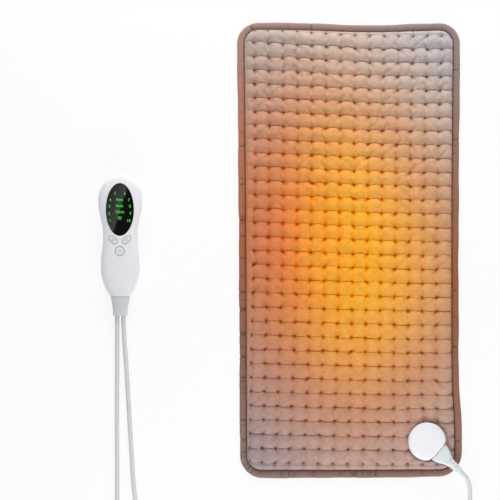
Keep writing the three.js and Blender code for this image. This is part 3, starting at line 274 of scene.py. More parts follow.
def coil_places(count):
    """The coil's places: it winds in by one pitch a turn, climbs to the upper layer, and winds out again.

    Its radius is the inner radius plus the pitch times the turns from the middle. Its angle starts at half a
    turn, and it climbs by one pitch along a smooth step.
    """
    turned = np.linspace(0, TURNS, count)
    radius = COIL_INNER + COIL_PITCH * np.abs(turned - TURNS_IN)
    angle = np.pi + 2 * np.pi * turned
    climb = np.clip((turned - CLIMB_START) / CLIMB_TURNS, 0, 1)
    height = COIL_LEVEL + COIL_PITCH * climb**2 * (3 - 2 * climb)
    return np.stack([COIL[0] + radius * np.cos(angle), COIL[1] + radius * np.sin(angle), height], axis=1)


mains_line = smooth_line(
    [
        (-305.1, -62, 12),
        (-305.1, -87, 12),
        (-305.1, -100, 11),
        (-305.3, -122, 7.2),
        (-305.5, -150, 3.6),
        (-305.7, -190, 3),
        (-305.7, -240, 3),
        (-305.5, -290, 3),
        (-305.3, -340, 3),
        (-305.1, -385, 3.4),
        (-305.1, -415, 4.4),
        *coil_places(151),
        (-246.04, -485.39, 11),
        (-223.02, -485.39, 9.75),
        (-202, -485.39, 8.5),
        (-195, -485.39, 8.5),
    ],
    CORD_STEP,
)
MAINS_NODES = ("mains_cord_lead", "mains_cord_coil", "mains_cord_tail")
mains_cord, mains_length = lay_cord("mains_cord_lay", mains_line, CORD, "control_set", *MAINS_NODES)

# %% [markdown]
# ## Tools for the meshes
#
# Every other new piece is a grid of points worked out with numpy, whose faces join each point to its
# neighbours. A grid that closes on itself makes a tube or a ring, and a row drawn in to one point a pole.
# The points of a pole or seam lie on each other, so they are merged, and the faces are turned outwards.
# Many pieces are a bar: a rounded section carried along an axis, with its size changing on the way.

# %% Grid and mesh helpers


def grid_faces(rows, columns, close_rows=False, close_columns=False):
    """Quads of a grid stored row by row: a point, its neighbour, and the two beside them in the next row."""
    row, column = np.meshgrid(
        np.arange(rows - (not close_rows)),
        np.arange(columns - (not close_columns)),
        indexing="ij",
    )
    here = row * columns
    next_row = (row + 1) % rows * columns
    beside = (column + 1) % columns
    corners = [here + column, here + beside, next_row + beside, next_row + column]
    return np.stack(corners, axis=-1).reshape(-1, 4)


def make_mesh(name, points, faces, material, closed=True, crease=40.0, uv=None):
    """Puts points in millimetres and their faces into a mesh object at the origin.

    A closed piece is turned outwards: a sixth of the sum of a . (b x c) over its triangles is its volume.
    """
    mesh = bpy.data.meshes.new(name)
    place = np.asarray(points, float).reshape(-1, 3) * MM
    mesh.from_pydata(place.tolist(), [], [[int(k) for k in face] for face in faces])
    if uv is not None:
        mesh.uv_layers.new(name="weave").data.foreach_set("uv", np.asarray(uv, float).ravel())
    work = bmesh.new()
    work.from_mesh(mesh)
    bmesh.ops.remove_doubles(work, verts=work.verts, dist=1e-6)
    work.to_mesh(mesh)
    work.free()
    mesh.calc_loop_triangles()
    corner = np.empty(len(mesh.loop_triangles) * 3, np.int32)
    mesh.loop_triangles.foreach_get("vertices", corner)
    spot = np.empty(len(mesh.vertices) * 3)
    mesh.vertices.foreach_get("co", spot)
    a, b, c = spot.reshape(-1, 3)[corner.reshape(-1, 3)].transpose(1, 0, 2)
    if closed and np.sum(a * np.cross(b, c)) < 0:
        mesh.flip_normals()
    mesh.polygons.foreach_set("use_smooth", np.ones(len(mesh.polygons), bool))
    mesh.set_sharp_from_angle(angle=np.radians(crease))
    mesh.materials.append(material)
    piece = bpy.data.objects.new(name, mesh)
    scene.collection.objects.link(piece)
    return piece


def settle(piece, body, slot, *nodes):
    """Lets a piece ride on its body and hides the CAD nodes that it stands for; its slot is not used."""
    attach(piece, body)
    if nodes:
        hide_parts(*nodes)
    print(piece.name, len(piece.data.polygons), "faces")
    return piece


# %% Bars and cuts


def angles(count):
    """Even angles, once round."""
    return np.linspace(0, 2 * np.pi, count, endpoint=False)


def superellipse(turn, power):
    """A rounded rectangle of half sizes 1: each of cos and sin keeps its sign and is raised to 2 / power."""
    across = np.sign(np.cos(turn)) * np.abs(np.cos(turn)) ** (2 / power)
    up = np.sign(np.sin(turn)) * np.abs(np.sin(turn)) ** (2 / power)
    return across, up


def bar(places, half_wide, half_tall, power, sides, beside=0.0, above=0.0):
    """Rings of a bar along x: at each place a superellipse of the half sizes there, off the axis if asked."""
    values = [np.reshape(value, (-1, 1)) for value in (places, half_wide, half_tall, power)]
    place, wide, tall, power = np.broadcast_arrays(*values)
    across, up = superellipse(angles(sides), power)
    return np.stack([place + 0 * across, beside + wide * across, above + tall * up], axis=-1)


def loft(rings):
    """Points and faces of a row of rings, skinned from ring to ring, with a flat face at each end."""
    count, sides = rings.shape[:2]
    ends = [np.arange(sides), (count - 1) * sides + np.arange(sides)[::-1]]
    return rings, [*grid_faces(count, sides, close_columns=True), *ends]


def cut_away(piece, *cutters):
    """Takes cutters out of a piece with exact Booleans and puts the result back into its mesh."""
    for cutter in cutters:
        opening = piece.modifiers.new("opening", "BOOLEAN")
        opening.object = cutter
        opening.solver = "EXACT"
    solid = bpy.data.meshes.new_from_object(piece.evaluated_get(bpy.context.evaluated_depsgraph_get()))
    piece.modifiers.clear()
    piece.data = solid
    solid.set_sharp_from_angle(angle=np.radians(35))
    for cutter in cutters:
        bpy.data.objects.remove(cutter)
    return piece


# %% [markdown]
# ## Plush cover cloth
#
# The cover is brushed polyester plush: short soft fibres that scatter light, so it has sheen and no gloss.
# The photograph draws the pad's heat as an orange glow across the middle, and the cloth carries it as colour.
# A lamp inside would be lost in the exported model, and a painted picture would have pixels of its own.
# The glow is a leaning oval: a colour ramp over the distance from its centre gives the tone, one ramp for the
# redder left and one for the yellower right. The same measure tints the thread of tacks and stitches.

# %% Warmth of a place on the pad
GLOW_CENTRE = (-24.0, -2.0)
GLOW_HALF = (177.0, 222.0)
GLOW_REACH = 1.6
GLOW_LEAN = 0.2
# The left ramp gives way to the right one between two places across the pad, and between two places down
# it a faint pink painted shade darkens the lower pad
GLOW_SIDES = (-145.0, 25.0)
LOW_SPAN = (-50.0, -300.0)
LOW_SHADE_TINT = "#F8E9ED"


def warmth(material):
    """Three sockets: the distance from the glow's centre over its reach, how far right, and how far down.

    The distance is in half sizes of an oval that leans: the way along it counts a share of the way across.
    """
    place = add_node(material, "TexCoord").outputs["Object"]
    centre = (GLOW_CENTRE[0] * MM, GLOW_CENTRE[1] * MM, 0)
    out = add_node(material, "VectorMath", {0: place, 1: centre}, operation="SUBTRACT").outputs[0]
    wide, tall = 1 / (GLOW_HALF[0] * MM), 1 / (GLOW_HALF[1] * MM)
    leaning = (GLOW_LEAN * tall, tall, 0)
    across = add_node(material, "VectorMath", {0: out, 1: (wide, 0, 0)}, operation="DOT_PRODUCT")
    along = add_node(material, "VectorMath", {0: out, 1: leaning}, operation="DOT_PRODUCT")
    oval = add_node(material, "CombineXYZ", {0: across.outputs["Value"], 1: along.outputs["Value"]})
    far = add_node(material, "VectorMath", {0: oval.outputs[0]}, operation="LENGTH")
    share = add_node(material, "Math", {0: far.outputs["Value"], 1: GLOW_REACH}, operation="DIVIDE")
    axes = add_node(material, "SeparateXYZ", {0: place})
    right, low = [
        add_node(
            material,
            "MapRange",
            {"Value": axes.outputs[axis], 1: start * MM, 2: end * MM},
            interpolation_type="SMOOTHSTEP",
        )
        for axis, (start, end) in enumerate((GLOW_SIDES, LOW_SPAN))
    ]
    return share.outputs[0], right.outputs[0], low.outputs[0]


# %% Plush cloth material
# Plush fibres are some 0.1 mm thick; they are drawn as tufts of 1.6 mm, the finest that the render shows
TUFT = 1.6
# The nap lies one way or another in patches as wide as a hand's brush mark on a puff
NAP_PATCH = 11.0


def plush(name, left, right, sheen):
    """Brushed plush: two glow ramps mixed across the pad, shaded by nap patches and by tufts that lift it.

    Where the piece has an attribute of painted shade, its pits, creases and seams are darker, richer and
    redder:
    painted shade, where the pile is also pressed together.
    """
    soft = {"Roughness": 0.95, "Specular_IOR_Level": 0.15, "Sheen_Roughness": 0.45}
    material = start_material(name, Sheen_Weight=sheen, **soft)
    share, side, low = warmth(material)
    ramps = [add_node(material, "ValToRGB", {"Fac": share}, stops=stops) for stops in (left, right)]
    glow = add_node(
        material,
        "Mix",
        {0: side, 6: ramps[0].outputs[0], 7: ramps[1].outputs[0]},
        data_type="RGBA",
    )
    # Painted shade: towards the pad's bottom the glow is multiplied by a faint pink, which darkens it
    low_shaded = add_node(
        material,
        "Mix",
        {0: low, 6: glow.outputs[2], 7: linear(LOW_SHADE_TINT)},
        data_type="RGBA",
        blend_type="MULTIPLY",
    )
    place = add_node(material, "TexCoord").outputs["Object"]
    nap, tuft = [
        add_node(material, "TexNoise", {"Vector": place, "Scale": 1 / (size * MM), "Detail": 2.0}).outputs[0]
        for size in (NAP_PATCH, TUFT)
    ]
    both = add_node(material, "Math", {0: nap, 1: tuft}, operation="ADD").outputs[0]
    tone = add_node(material, "MapRange", {"Value": both, 1: 0.65, 2: 1.35, 3: 0.87, 4: 1.12}).outputs[0]
    # Painted shade: the attribute darkens, enriches and reddens pits, creases and seams
    painted_shade = add_node(material, "Attribute", attribute_name="painted_shade").outputs["Fac"]
    darker, richer, redder = [
        add_node(material, "MapRange", {"Value": painted_shade, 3: unshaded_pile, 4: shaded_pressed_pile}).outputs[0]
        for unshaded_pile, shaded_pressed_pile in ((1.0, 0.83), (1.0, 1.17), (0.5, 0.491))
    ]
    value = add_node(material, "Math", {0: tone, 1: darker}, operation="MULTIPLY").outputs[0]
    cloth = add_node(
        material,
        "HueSaturation",
        {"Color": low_shaded.outputs[2], "Hue": redder, "Saturation": richer, "Value": value},
    )
    dress(material, cloth.outputs[0], tuft, 0.35, 0.4)
    return material


GLOW_LEFT = [
    (0.0, "#F29D39"),
    (0.19, "#DF6E4C"),
    (0.38, "#CA805B"),
    (0.57, "#C0907A"),
    (0.75, "#B39D92"),
    (0.95, "#A2A2A0"),
]
GLOW_RIGHT = [
    (0.0, "#FAAA3A"),
    (0.19, "#F9B138"),
    (0.38, "#EDA953"),
    (0.57, "#D09D75"),
    (0.75, "#C2A997"),
    (0.95, "#B3AAA9"),
]
cover_cloth = plush("brushed_plush", GLOW_LEFT, GLOW_RIGHT, 0.25)
print("plush nodes", len(cover_cloth.node_tree.nodes))

# %% [markdown]
# ## Quilted front cover
#
# The cover is tacked to the padding at 14 by 32 points, and between the tacks the wadding pushes it up.
# It could be sculpted, but a formula puts each dimple where a tack is. It gives cushions, a thin crease along
# each row of tacks, a pit with folds at each tack, shallow furrows along the columns, a few wrinkles, and a
# notch where a row meets the right edge. Blender's cloth then swells it under pressure with its tacks held,
# which gives the unevenness that no formula has. The swell is worked out on every second line of the grid and
# carried to the fine grid, so that the tacks and creases stay sharp.

# %% Grid of the cover
FIELD_HALF = (137.4, 290.4)
FIELD_CORNER = 19.4
TACKS = (32, 14)
TACK_X = np.linspace(-122.9, 122.9, TACKS[1])
TACK_Y = np.linspace(-285.2, 285.2, TACKS[0])
# The lines of tacks and the two edges, which bound the cells
LINES = (TACKS[0] + 2, TACKS[1] + 2)
CELL_STEPS = 14
EDGE_STEPS = (10, 4)


def grid_lines(half, tacks, edge_steps):
    """Lines across the field: edge_steps from its edge to the first tack, CELL_STEPS from tack to tack.

    A share t of a cell is moved to t - sin(2 pi t) / 4 pi, so that the lines are closer near the tacks.
    """
    share = np.arange((len(tacks) - 1) * CELL_STEPS + 1) / CELL_STEPS
    share = share - np.sin(2 * np.pi * share) / (4 * np.pi)
    between = np.interp(share, np.arange(len(tacks)), tacks)
    edge = np.linspace(-half, tacks[0], edge_steps, endpoint=False)
    return np.concatenate([edge, between, -edge[::-1]])


flat_x, flat_y = np.meshgrid(
    grid_lines(FIELD_HALF[0], TACK_X, EDGE_STEPS[0]),
    grid_lines(FIELD_HALF[1], TACK_Y, EDGE_STEPS[1]),
)
cell_x = np.interp(flat_x, [-FIELD_HALF[0], *TACK_X, FIELD_HALF[0]], np.arange(LINES[1]))
cell_y = np.interp(flat_y, [-FIELD_HALF[1], *TACK_Y, FIELD_HALF[1]], np.arange(LINES[0]))
i_cell = np.minimum(cell_x.astype(int), TACKS[1])
j_cell = np.minimum(cell_y.astype(int), TACKS[0])
part_x = cell_x - i_cell
part_y = cell_y - j_cell
i_tack = np.clip(np.rint(cell_x).astype(int), 1, TACKS[1]) - 1
j_tack = np.clip(np.rint(cell_y).astype(int), 1, TACKS[0]) - 1
off_x = flat_x - TACK_X[i_tack]
off_y = flat_y - TACK_Y[j_tack]
away = np.hypot(off_x, off_y)
print("cover grid", flat_x.shape)

# %% Drift of the creases
# A crease does not run straight from tack to tack: half a sine lifts its middle by a chance amount, which
# arches it up in most rows and lets it sag near the bottom
ARCH_ROWS = [0, 9, 17, 33]
ARCH_LIFT = [-1.3, -0.5, 1.6, 2.0]
chance = np.random.default_rng(41)
row_arch = np.interp(np.arange(LINES[0]), ARCH_ROWS, ARCH_LIFT)
row_drift = chance.normal(0, 0.6, LINES) + row_arch[:, None]
row_drift[[0, -1]] = 0
column_drift = chance.normal(0, 0.5, LINES)
column_drift[:, [0, -1]] = 0
arch = np.sin(np.pi * part_x)
bow = np.sin(np.pi * part_y)
drift_y = arch * (row_drift[j_cell, i_cell] * (1 - part_y) + row_drift[j_cell + 1, i_cell] * part_y)
drift_x = bow * (column_drift[j_cell, i_cell] * (1 - part_x) + column_drift[j_cell, i_cell + 1] * part_x)
print("creases drift by up to", round(float(np.abs(drift_y).max()), 2), "mm")

# %% Cushions
UNDERSIDE = 7.0
CROWN = 11.9
CUSHION = 2.7


def smoothstep(low, high, value):
    """0 below low, 1 above high, and 3 t^2 - 2 t^3 between them."""
    share = np.clip((value - low) / (high - low), 0, 1)
    return share * share * (3 - 2 * share)


def from_table(table, u, v):
    """Reads a table between its entries: the four nearest entries, weighed by how near they are."""
    u = np.clip(u, 0, table.shape[1] - 1.001)
    v = np.clip(v, 0, table.shape[0] - 1.001)
    i, j = u.astype(int), v.astype(int)
    p, q = u - i, v - j
    low = table[j, i] * (1 - p) + table[j, i + 1] * p
    high = table[j + 1, i] * (1 - p) + table[j + 1, i + 1] * p
    return low * (1 - q) + high * q


# A cushion is a sine from row to row, a little lower towards the columns, and low in the two edge rows
swell = from_table(chance.normal(1.0, 0.18, LINES), cell_x - 0.5, cell_y - 0.5)
cushion = CUSHION * swell * np.sin(np.pi * part_y) ** 0.9 * (0.72 + 0.28 * arch**2)
cushion = cushion * np.where((j_cell == 0) | (j_cell == TACKS[0]), 0.35, 1.0)
print("cushions up to", round(float(cushion.max()), 2), "mm")

# %% Creases along the rows
CREASE = 0.7
LEFT_FADE = 0.25
# A crease falls off over 0.8 mm from its row's line and is tight in some cells, slack in others. In some
# cells a second, fainter one runs straight. The creases end at the tacks and fade at the left edge
tight = chance.random(LINES) ** 1.8
crease = CREASE * (0.2 + 1.1 * tight[j_tack + 1, i_cell]) * np.exp(-np.abs(off_y) / 0.8)
double = chance.random(LINES) < 0.4
second = 0.6 * CREASE * double[j_tack + 1, i_cell] * np.exp(-np.abs(off_y + drift_y) / 0.7)
between = smoothstep(0.5, 3.0, np.abs(off_x))
margin = smoothstep(0, 2.5, FIELD_HALF[0] - np.abs(flat_x)) * np.where(i_cell == 0, LEFT_FADE, 1.0)
folds = (crease + second) * between * margin
print("creases up to", round(float(folds.max()), 2), "mm")

# %% Pits of the tacks
PIT = 4.5
PIT_FLOOR = 1.1
# A pit falls off with the distance from its tack. Its reach is greatest up and down the pad, where the
# cloth is drawn into folds that lean a little by chance
lean = chance.normal(0, 0.25, TACKS)[j_tack, i_tack]
upright = np.abs(np.sin(np.arctan2(off_y, off_x) + lean))
reach = 2.1 + (2.8 + 2.6 * chance.random(TACKS)[j_tack, i_tack]) * upright**6
deep = PIT * chance.uniform(0.8, 1.15, TACKS)[j_tack, i_tack]
pit = deep * np.exp(-np.maximum(away - PIT_FLOOR, 0) / reach)
print("pits up to", round(float(pit.max()), 2), "mm")

# %% Furrows, wrinkles and notches
WRINKLE = 0.8
WRINKLED = 0.18
NOTCH = 5.0
# A furrow runs along each column and is shallower near the bottom. A wrinkle runs along the diagonal of a few
# cells. A notch falls off from the right edge and from its row's line
furrow = (0.3 + 0.6 * chance.random(LINES)[j_cell, i_tack + 1]) * np.exp(-np.abs(off_x) / 1.8)
furrow = furrow * np.interp(cell_y, [8, 18], [0.4, 1.0]) * bow
kind = chance.random(LINES)[j_cell, i_cell]
diagonal = np.where(kind < WRINKLED / 2, part_x - part_y, part_x + part_y - 1) * (kind < WRINKLED)
wrinkle = WRINKLE * (kind < WRINKLED) * np.exp(-np.abs(diagonal) / 0.06) * bow
notch = np.exp(-np.hypot((FIELD_HALF[0] - flat_x) / 3.0, off_y / 1.8))
heights = CROWN + cushion - folds - pit - furrow - wrinkle - NOTCH * notch
heights = np.maximum(heights, UNDERSIDE + 0.15)
# How deep a place lies in a pit, crease, furrow or notch, where painted shade darkens the pressed pile
cover_painted_shade = np.exp(-np.maximum(away - 1.0, 0) / (0.6 + 0.25 * reach))
cover_painted_shade = np.clip(cover_painted_shade + 0.4 * folds / CREASE + 0.25 * furrow + 1.2 * notch, 0, 1)
print("heights", np.round([heights.min(), heights.max()], 2), "mm")

# %% Quilting out of square


def skewed(x, y):
    """How far the quilting is out of square, as cubics in the shares u across and v along the field.

    The columns lean to the left towards the bottom, less so near the bottom left corner, and the rows run
    down to the right. Towards the field's edge the shift fades out, because the cloth is sewn down there.
    """
    u = np.clip(x, TACK_X[0], TACK_X[-1]) / FIELD_HALF[0]
    v = np.clip(y, TACK_Y[0], TACK_Y[-1]) / FIELD_HALF[1]
    shift = -3.5 + 4.4 * v - 2.7 * v**2 + 0.9 * v**3
    shift = shift - u * (1.1 + 2.6 * v - 5.2 * v**2) - u**2 * (1.4 - 1.1 * v)
    shift = shift + 39 * np.clip(-u - 0.55, 0, None) * np.clip(-v - 0.45, 0, None)
    run = 3.3 - 1.55 * v - 1.6 * v**2 - u * (4.7 + 1.4 * v - 1.1 * v**2 - 0.9 * u**2) + 0.7 * u**2
    fade_x = np.clip((FIELD_HALF[0] - np.abs(x)) / (FIELD_HALF[0] - TACK_X[-1]), 0, 1)
    fade_y = np.clip((FIELD_HALF[1] - np.abs(y)) / (FIELD_HALF[1] - TACK_Y[-1]), 0, 1)
    row = np.arange(x.shape[0])[:, None]
    from_edge = np.minimum(row, x.shape[0] - 1 - row)
    limit = FIELD_HALF[1] - 0.35 * from_edge
    return x + shift * fade_x, np.clip(y + run * fade_y, -limit, limit)


def rounded(x, y, half, corner):
    """Draws the corners of a rectangle in to arcs.

    Within a corner's square, each share of the corner is times the root of 1 less half the other's square.
    """
    u = np.clip((np.abs(x) - half[0] + corner) / corner, 0, 1)
    v = np.clip((np.abs(y) - half[1] + corner) / corner, 0, 1)
    in_x = u * (1 - np.sqrt(1 - v * v / 2)) * corner
    in_y = v * (1 - np.sqrt(1 - u * u / 2)) * corner
    return x - np.sign(x) * in_x, y - np.sign(y) * in_y


skew_x, skew_y = skewed(flat_x + drift_x, flat_y + drift_y)
round_x, round_y = rounded(skew_x, skew_y, FIELD_HALF, FIELD_CORNER)
print("quilting shifts by up to", round(float(np.abs(round_x - flat_x).max()), 1), "mm")

# %% Sewn edge of the pad
PAD_HALF = (147.0, 300.0)
PAD_CORNER = 29.0
EDGE_LEVEL = 3.5
EDGE_THINNING = 13
EDGE_TURN = 1.8


def edge_distance(x, y, half, corner):
    """Distance inside a rounded rectangle's edge: the corner radius less the way past the corner centres."""
    past_x = np.abs(x) - (half[0] - corner)
    past_y = np.abs(y) - (half[1] - corner)
    outside = np.hypot(np.maximum(past_x, 0), np.maximum(past_y, 0))
    return corner - outside - np.minimum(np.maximum(past_x, past_y), 0)


def quarter_round(distance, width):
    """A quarter circle's rise over a width: the root of 1 less the square of the share that is missing."""
    return np.sqrt(1 - (1 - np.clip(distance / width, 0, 1)) ** 2)


def drawn_in(points):
    """The sewn edge draws the pad out of true by a few millimetres, in shares u across and v along it.

    The left side is drawn in more towards the bottom, and the right side between its bulges near the bottom
    and at the top. The top edge is drawn in in its middle, and the bottom edge runs out a little instead.
    """
    u = points[..., 0] / PAD_HALF[0]
    v = points[..., 1] / PAD_HALF[1]
    up, down = np.clip(v, 0, None), np.clip(-v, 0, None)
    bulge = 4.4 * np.exp(-(((v + 0.84) / 0.2) ** 2))
    left = np.clip(-u, 0, None) * (2.3 - 2 * v - 0.7 * v**2)
    right = np.clip(u, 0, None) * (bulge - 1.4 + 2.4 * up**1.5)
    top = -3.6 * up**2 * np.exp(-(((u - 0.2) / 0.55) ** 2))
    bottom = -(down**30) * (2.0 - 1.9 * np.clip(u, 0, None))
    return points + np.stack([left + right, top + bottom, np.zeros_like(top)], axis=-1)


inside = np.maximum(edge_distance(round_x, round_y, FIELD_HALF, FIELD_CORNER), 0)
# The sewn edge thins the padding over some 13 mm, and the cloth then turns down sharply into the binding
full = 0.7 * quarter_round(inside, EDGE_THINNING) + 0.3 * quarter_round(inside, EDGE_TURN)
cover_z = EDGE_LEVEL + (heights - EDGE_LEVEL) * full
# Painted shade also darkens the cloth where it turns down into the binding
cover_painted_shade = np.maximum(cover_painted_shade, np.exp(-inside / 0.9))
print("edge at", EDGE_LEVEL, "mm")

# %% Tacks beside the binding, and the press of the socket
# The quilting leans so far to the left that at the lower right one more column comes out beside the binding
SIDE_TACKS = 5
SIDE_TACK_X = 135.1
SIDE_TACK_TOP = -190.7
SIDE_TACK_PITCH = 18.4
SIDE_PIT = 3.4
# A height over most of the cloth: where the press lowers it, the socket or the plug lies on the cover
OVER_CLOTH = 12.0


def pressed(x, y, z):
    """Lowers the cloth under the socket and the plug, and lets it rise again over 3 to 4 mm beside them."""
    out = (x - SOCKET[0]) * np.cos(PLUG_TURN) + (y - SOCKET[1]) * np.sin(PLUG_TURN)
    off = (y - SOCKET[1]) * np.cos(PLUG_TURN) - (x - SOCKET[0]) * np.sin(PLUG_TURN)
    under_socket = 8.1 + 7 * smoothstep(25.2, 28.5, np.hypot(out, off))
    width = np.interp(out, [20, 28, 38, 60], [13.6, 12.2, 7.8, 6.3])
    beside = np.maximum(np.abs(off) - width, np.maximum(10 - out, out - 62))
    under_plug = 9.0 + 6 * smoothstep(0, 4, beside)
    return np.minimum(z, np.minimum(under_socket, under_plug))


side_tack_y = SIDE_TACK_TOP - SIDE_TACK_PITCH * np.arange(SIDE_TACKS)
side_tacks = np.stack([np.full(SIDE_TACKS, SIDE_TACK_X), side_tack_y], axis=1)
to_side = np.hypot(round_x[..., None] - side_tacks[:, 0], round_y[..., None] - side_tacks[:, 1]).min(axis=-1)
side_pit = SIDE_PIT * np.exp(-np.maximum(to_side - PIT_FLOOR, 0) / 2.6)
cover_z = np.maximum(cover_z - side_pit, EDGE_LEVEL)
# Painted shade round the tacks beside the binding
cover_painted_shade = np.maximum(cover_painted_shade, np.exp(-np.maximum(to_side - 0.8, 0) / 1.6))
cover_points = np.stack([round_x, round_y, pressed(round_x, round_y, cover_z)], axis=-1)
print("cover heights", np.round([cover_points[..., 2].min(), cover_points[..., 2].max()], 2))

# %% Swell the cover with cloth
# Each cell's cloth is a little longer than the cell, so under pressure it bulges between its held tacks
SWELL_LIMIT = 0.9
SWELL_FRAMES = 18
ROW_HOLD = 0.8


def hold(piece, count_x):
    """Pins for the cloth: border, tacks and what the socket presses are held fast, the tack rows mostly."""
    rows = len(piece.data.vertices) // count_x
    column, row = np.meshgrid(np.arange(count_x), np.arange(rows))
    half_cell = CELL_STEPS // 2
    on_row = (row - EDGE_STEPS[1] // 2) % half_cell == 0
    on_tack = on_row & ((column - EDGE_STEPS[0] // 2) % half_cell == 0)
    border = (row < 2) | (row > rows - 3) | (column < 1) | (column > count_x - 2)
    coarse = cover_points[::2, ::2]
    flat = pressed(coarse[..., 0], coarse[..., 1], np.full(coarse.shape[:2], OVER_CLOTH)) < OVER_CLOTH - 0.5
    weight = np.where(on_row, ROW_HOLD, 0.0)
    weight = np.where(on_tack | border | flat, 1.0, weight)
    group = piece.vertex_groups.new(name="held")
    for value in (ROW_HOLD, 1.0):
        group.add(np.flatnonzero(weight.ravel() == value).tolist(), value, "REPLACE")
    return group


def swelled(points):
    """How far each point moves when the cloth is swelled for some frames, no more than the limit."""
    count = points.shape[:2]
    sheet = make_mesh("swelling_cloth", points, grid_faces(*count), cover_cloth, closed=False)
    group = hold(sheet, count[1])
    cloth = sheet.modifiers.new("swell", "CLOTH")
    cloth.settings.quality = 6
    cloth.settings.mass = 0.15
    cloth.settings.tension_stiffness = 15
    cloth.settings.compression_stiffness = 15
    cloth.settings.shear_stiffness = 5
    cloth.settings.bending_stiffness = 0.5
    cloth.settings.shrink_min = -0.02
    cloth.settings.use_pressure = True
    cloth.settings.uniform_pressure_force = 12
    cloth.settings.vertex_group_mass = group.name
    cloth.settings.effector_weights.gravity = 0
    cloth.collision_settings.use_collision = False
    for step in range(1, SWELL_FRAMES + 1):
        scene.frame_set(step)
    moved = sheet.evaluated_get(bpy.context.evaluated_depsgraph_get()).to_mesh()
    spot = np.empty(len(moved.vertices) * 3)
    moved.vertices.foreach_get("co", spot)
    bpy.data.objects.remove(sheet)
    scene.frame_set(1)
    shift = spot.reshape(*count, 3) / MM - points
    length = np.linalg.norm(shift, axis=-1, keepdims=True)
    print("cloth moved", np.round(np.percentile(length, [50, 95, 100]), 2), "mm")
    return shift * np.minimum(1, SWELL_LIMIT / np.maximum(length, 1e-6))


def doubled(field, axis):
    """Puts a line midway between each two: 9/16 of both neighbours less 1/16 of the next two."""
    field = np.moveaxis(field, axis, 0)
    wide = np.concatenate([field[:1], field, field[-1:]])
    middle = (9 * (wide[1:-2] + wide[2:-1]) - wide[:-3] - wide[3:]) / 16
    fine = np.empty((2 * len(field) - 1, *field.shape[1:]))
    fine[::2] = field
    fine[1::2] = middle
    return np.moveaxis(fine, 0, axis)


swell_shift = swelled(cover_points[::2, ::2]) * smoothstep(0, 9, inside[::2, ::2])[..., None]
cover_points = cover_points + doubled(doubled(swell_shift, 0), 1)
cover_points[..., 2] = pressed(cover_points[..., 0], cover_points[..., 1], cover_points[..., 2])
cover_points = drawn_in(cover_points)

# %% Close the cover below and set it down
# The hem runs 4 mm out into the binding, then back below the cloth to the flat underside: insets and heights
HEM = [(-4, 3.2), (-4, 2.6), (2, 2.6), (3, UNDERSIDE)]


def border_of(rows, columns):
    """The numbers of a grid's border points: first row, last column, last row back, first column back."""
    number = np.arange(rows * columns).reshape(rows, columns)
    return np.concatenate([number[0, :-1], number[:-1, -1], number[-1, :0:-1], number[:0:-1, 0]])


def moved_in(loop, inset, height):
    """A closed loop moved inwards along its own normal at each point, at a new height."""
    ahead = np.roll(loop, -1, axis=0) - np.roll(loop, 1, axis=0)
    normal = np.stack([-ahead[:, 1], ahead[:, 0]], axis=1) / np.hypot(ahead[:, 0], ahead[:, 1])[:, None]
    return np.column_stack([loop[:, :2] + normal * inset, np.full(len(loop), height)])


rows, columns = cover_points.shape[:2]
rim = border_of(rows, columns)
edge = cover_points.reshape(-1, 3)[rim]
hem = [moved_in(edge, inset, height) for inset, height in HEM]
total = rows * columns
hem_size = len(HEM) * len(rim)
loops = np.concatenate([rim[None], total + np.arange(hem_size).reshape(len(HEM), -1)])
ahead = np.roll(loops, -1, axis=1)
hem_faces = np.stack([loops[:-1], loops[1:], ahead[1:], ahead[:-1]], axis=-1).reshape(-1, 4)
fan = np.stack([loops[-1], np.full(len(rim), total + hem_size), ahead[-1]], axis=1)
cover = make_mesh(
    "front_cover_quilt",
    np.concatenate([cover_points.reshape(-1, 3), *hem, [[0, 0, UNDERSIDE]]]),
    [*grid_faces(rows, columns), *hem_faces, *fan],
    cover_cloth,
    crease=180.0,
)
# The cover's painted shade goes into an attribute of its points
cover_shade_attribute = cover.data.attributes.new("painted_shade", "FLOAT", "POINT")
cover_shade_attribute.data.foreach_set("value", np.concatenate([cover_painted_shade.ravel(), np.zeros(hem_size + 1)]))
settle(cover, "pad", "cover_cloth", "front_cover")

# %% [markdown]
# ## Tack stitches
#
# Each tack is a few turns of thread pulled tight, which the eye sees as a small dark dot in the quilt.
# All of them are one mesh: a low dome with few faces, copied to every tack that the socket leaves free.

# %% Tacks
# Polyester thread: dull, with little sheen, in the tones of the glow, darkened by painted shade of its pit
TACK_LEFT = [(0.0, "#DC7412"), (0.3, "#C86C26"), (0.6, "#A66C4C"), (0.95, "#786660")]
TACK_RIGHT = [(0.0, "#E08812"), (0.3, "#D27E26"), (0.6, "#A97756"), (0.95, "#7C6E68")]
tack_thread = plush("tack_thread", TACK_LEFT, TACK_RIGHT, 0.1)
SUNK = 0.1
RIM_CLEARANCE = 1.2


def low_dome(half_x, half_y, height, sides):
    """A low dome on a flat foot: rings at 1, 0.7 and 0 of its half sizes, at 0, 0.75 and 1 of its height."""
    turn = angles(sides)
    wide = np.array([0.0, 1.0, 0.7, 0.0])[:, None]
    tall = np.array([0.0, 0.0, 0.75, 1.0])[:, None]
    ring = [wide * half_x * np.cos(turn), wide * half_y * np.sin(turn), tall * height + 0 * turn]
    return np.stack(ring, axis=-1).reshape(-1, 3), grid_faces(4, sides, close_columns=True)


def copied(faces, size, count):
    """Faces of copies of one shape: each copy's faces count on from the copy before by the shape's size."""
    return (faces[None, :, :] + size * np.arange(count)[:, None, None]).reshape(-1, faces.shape[1])


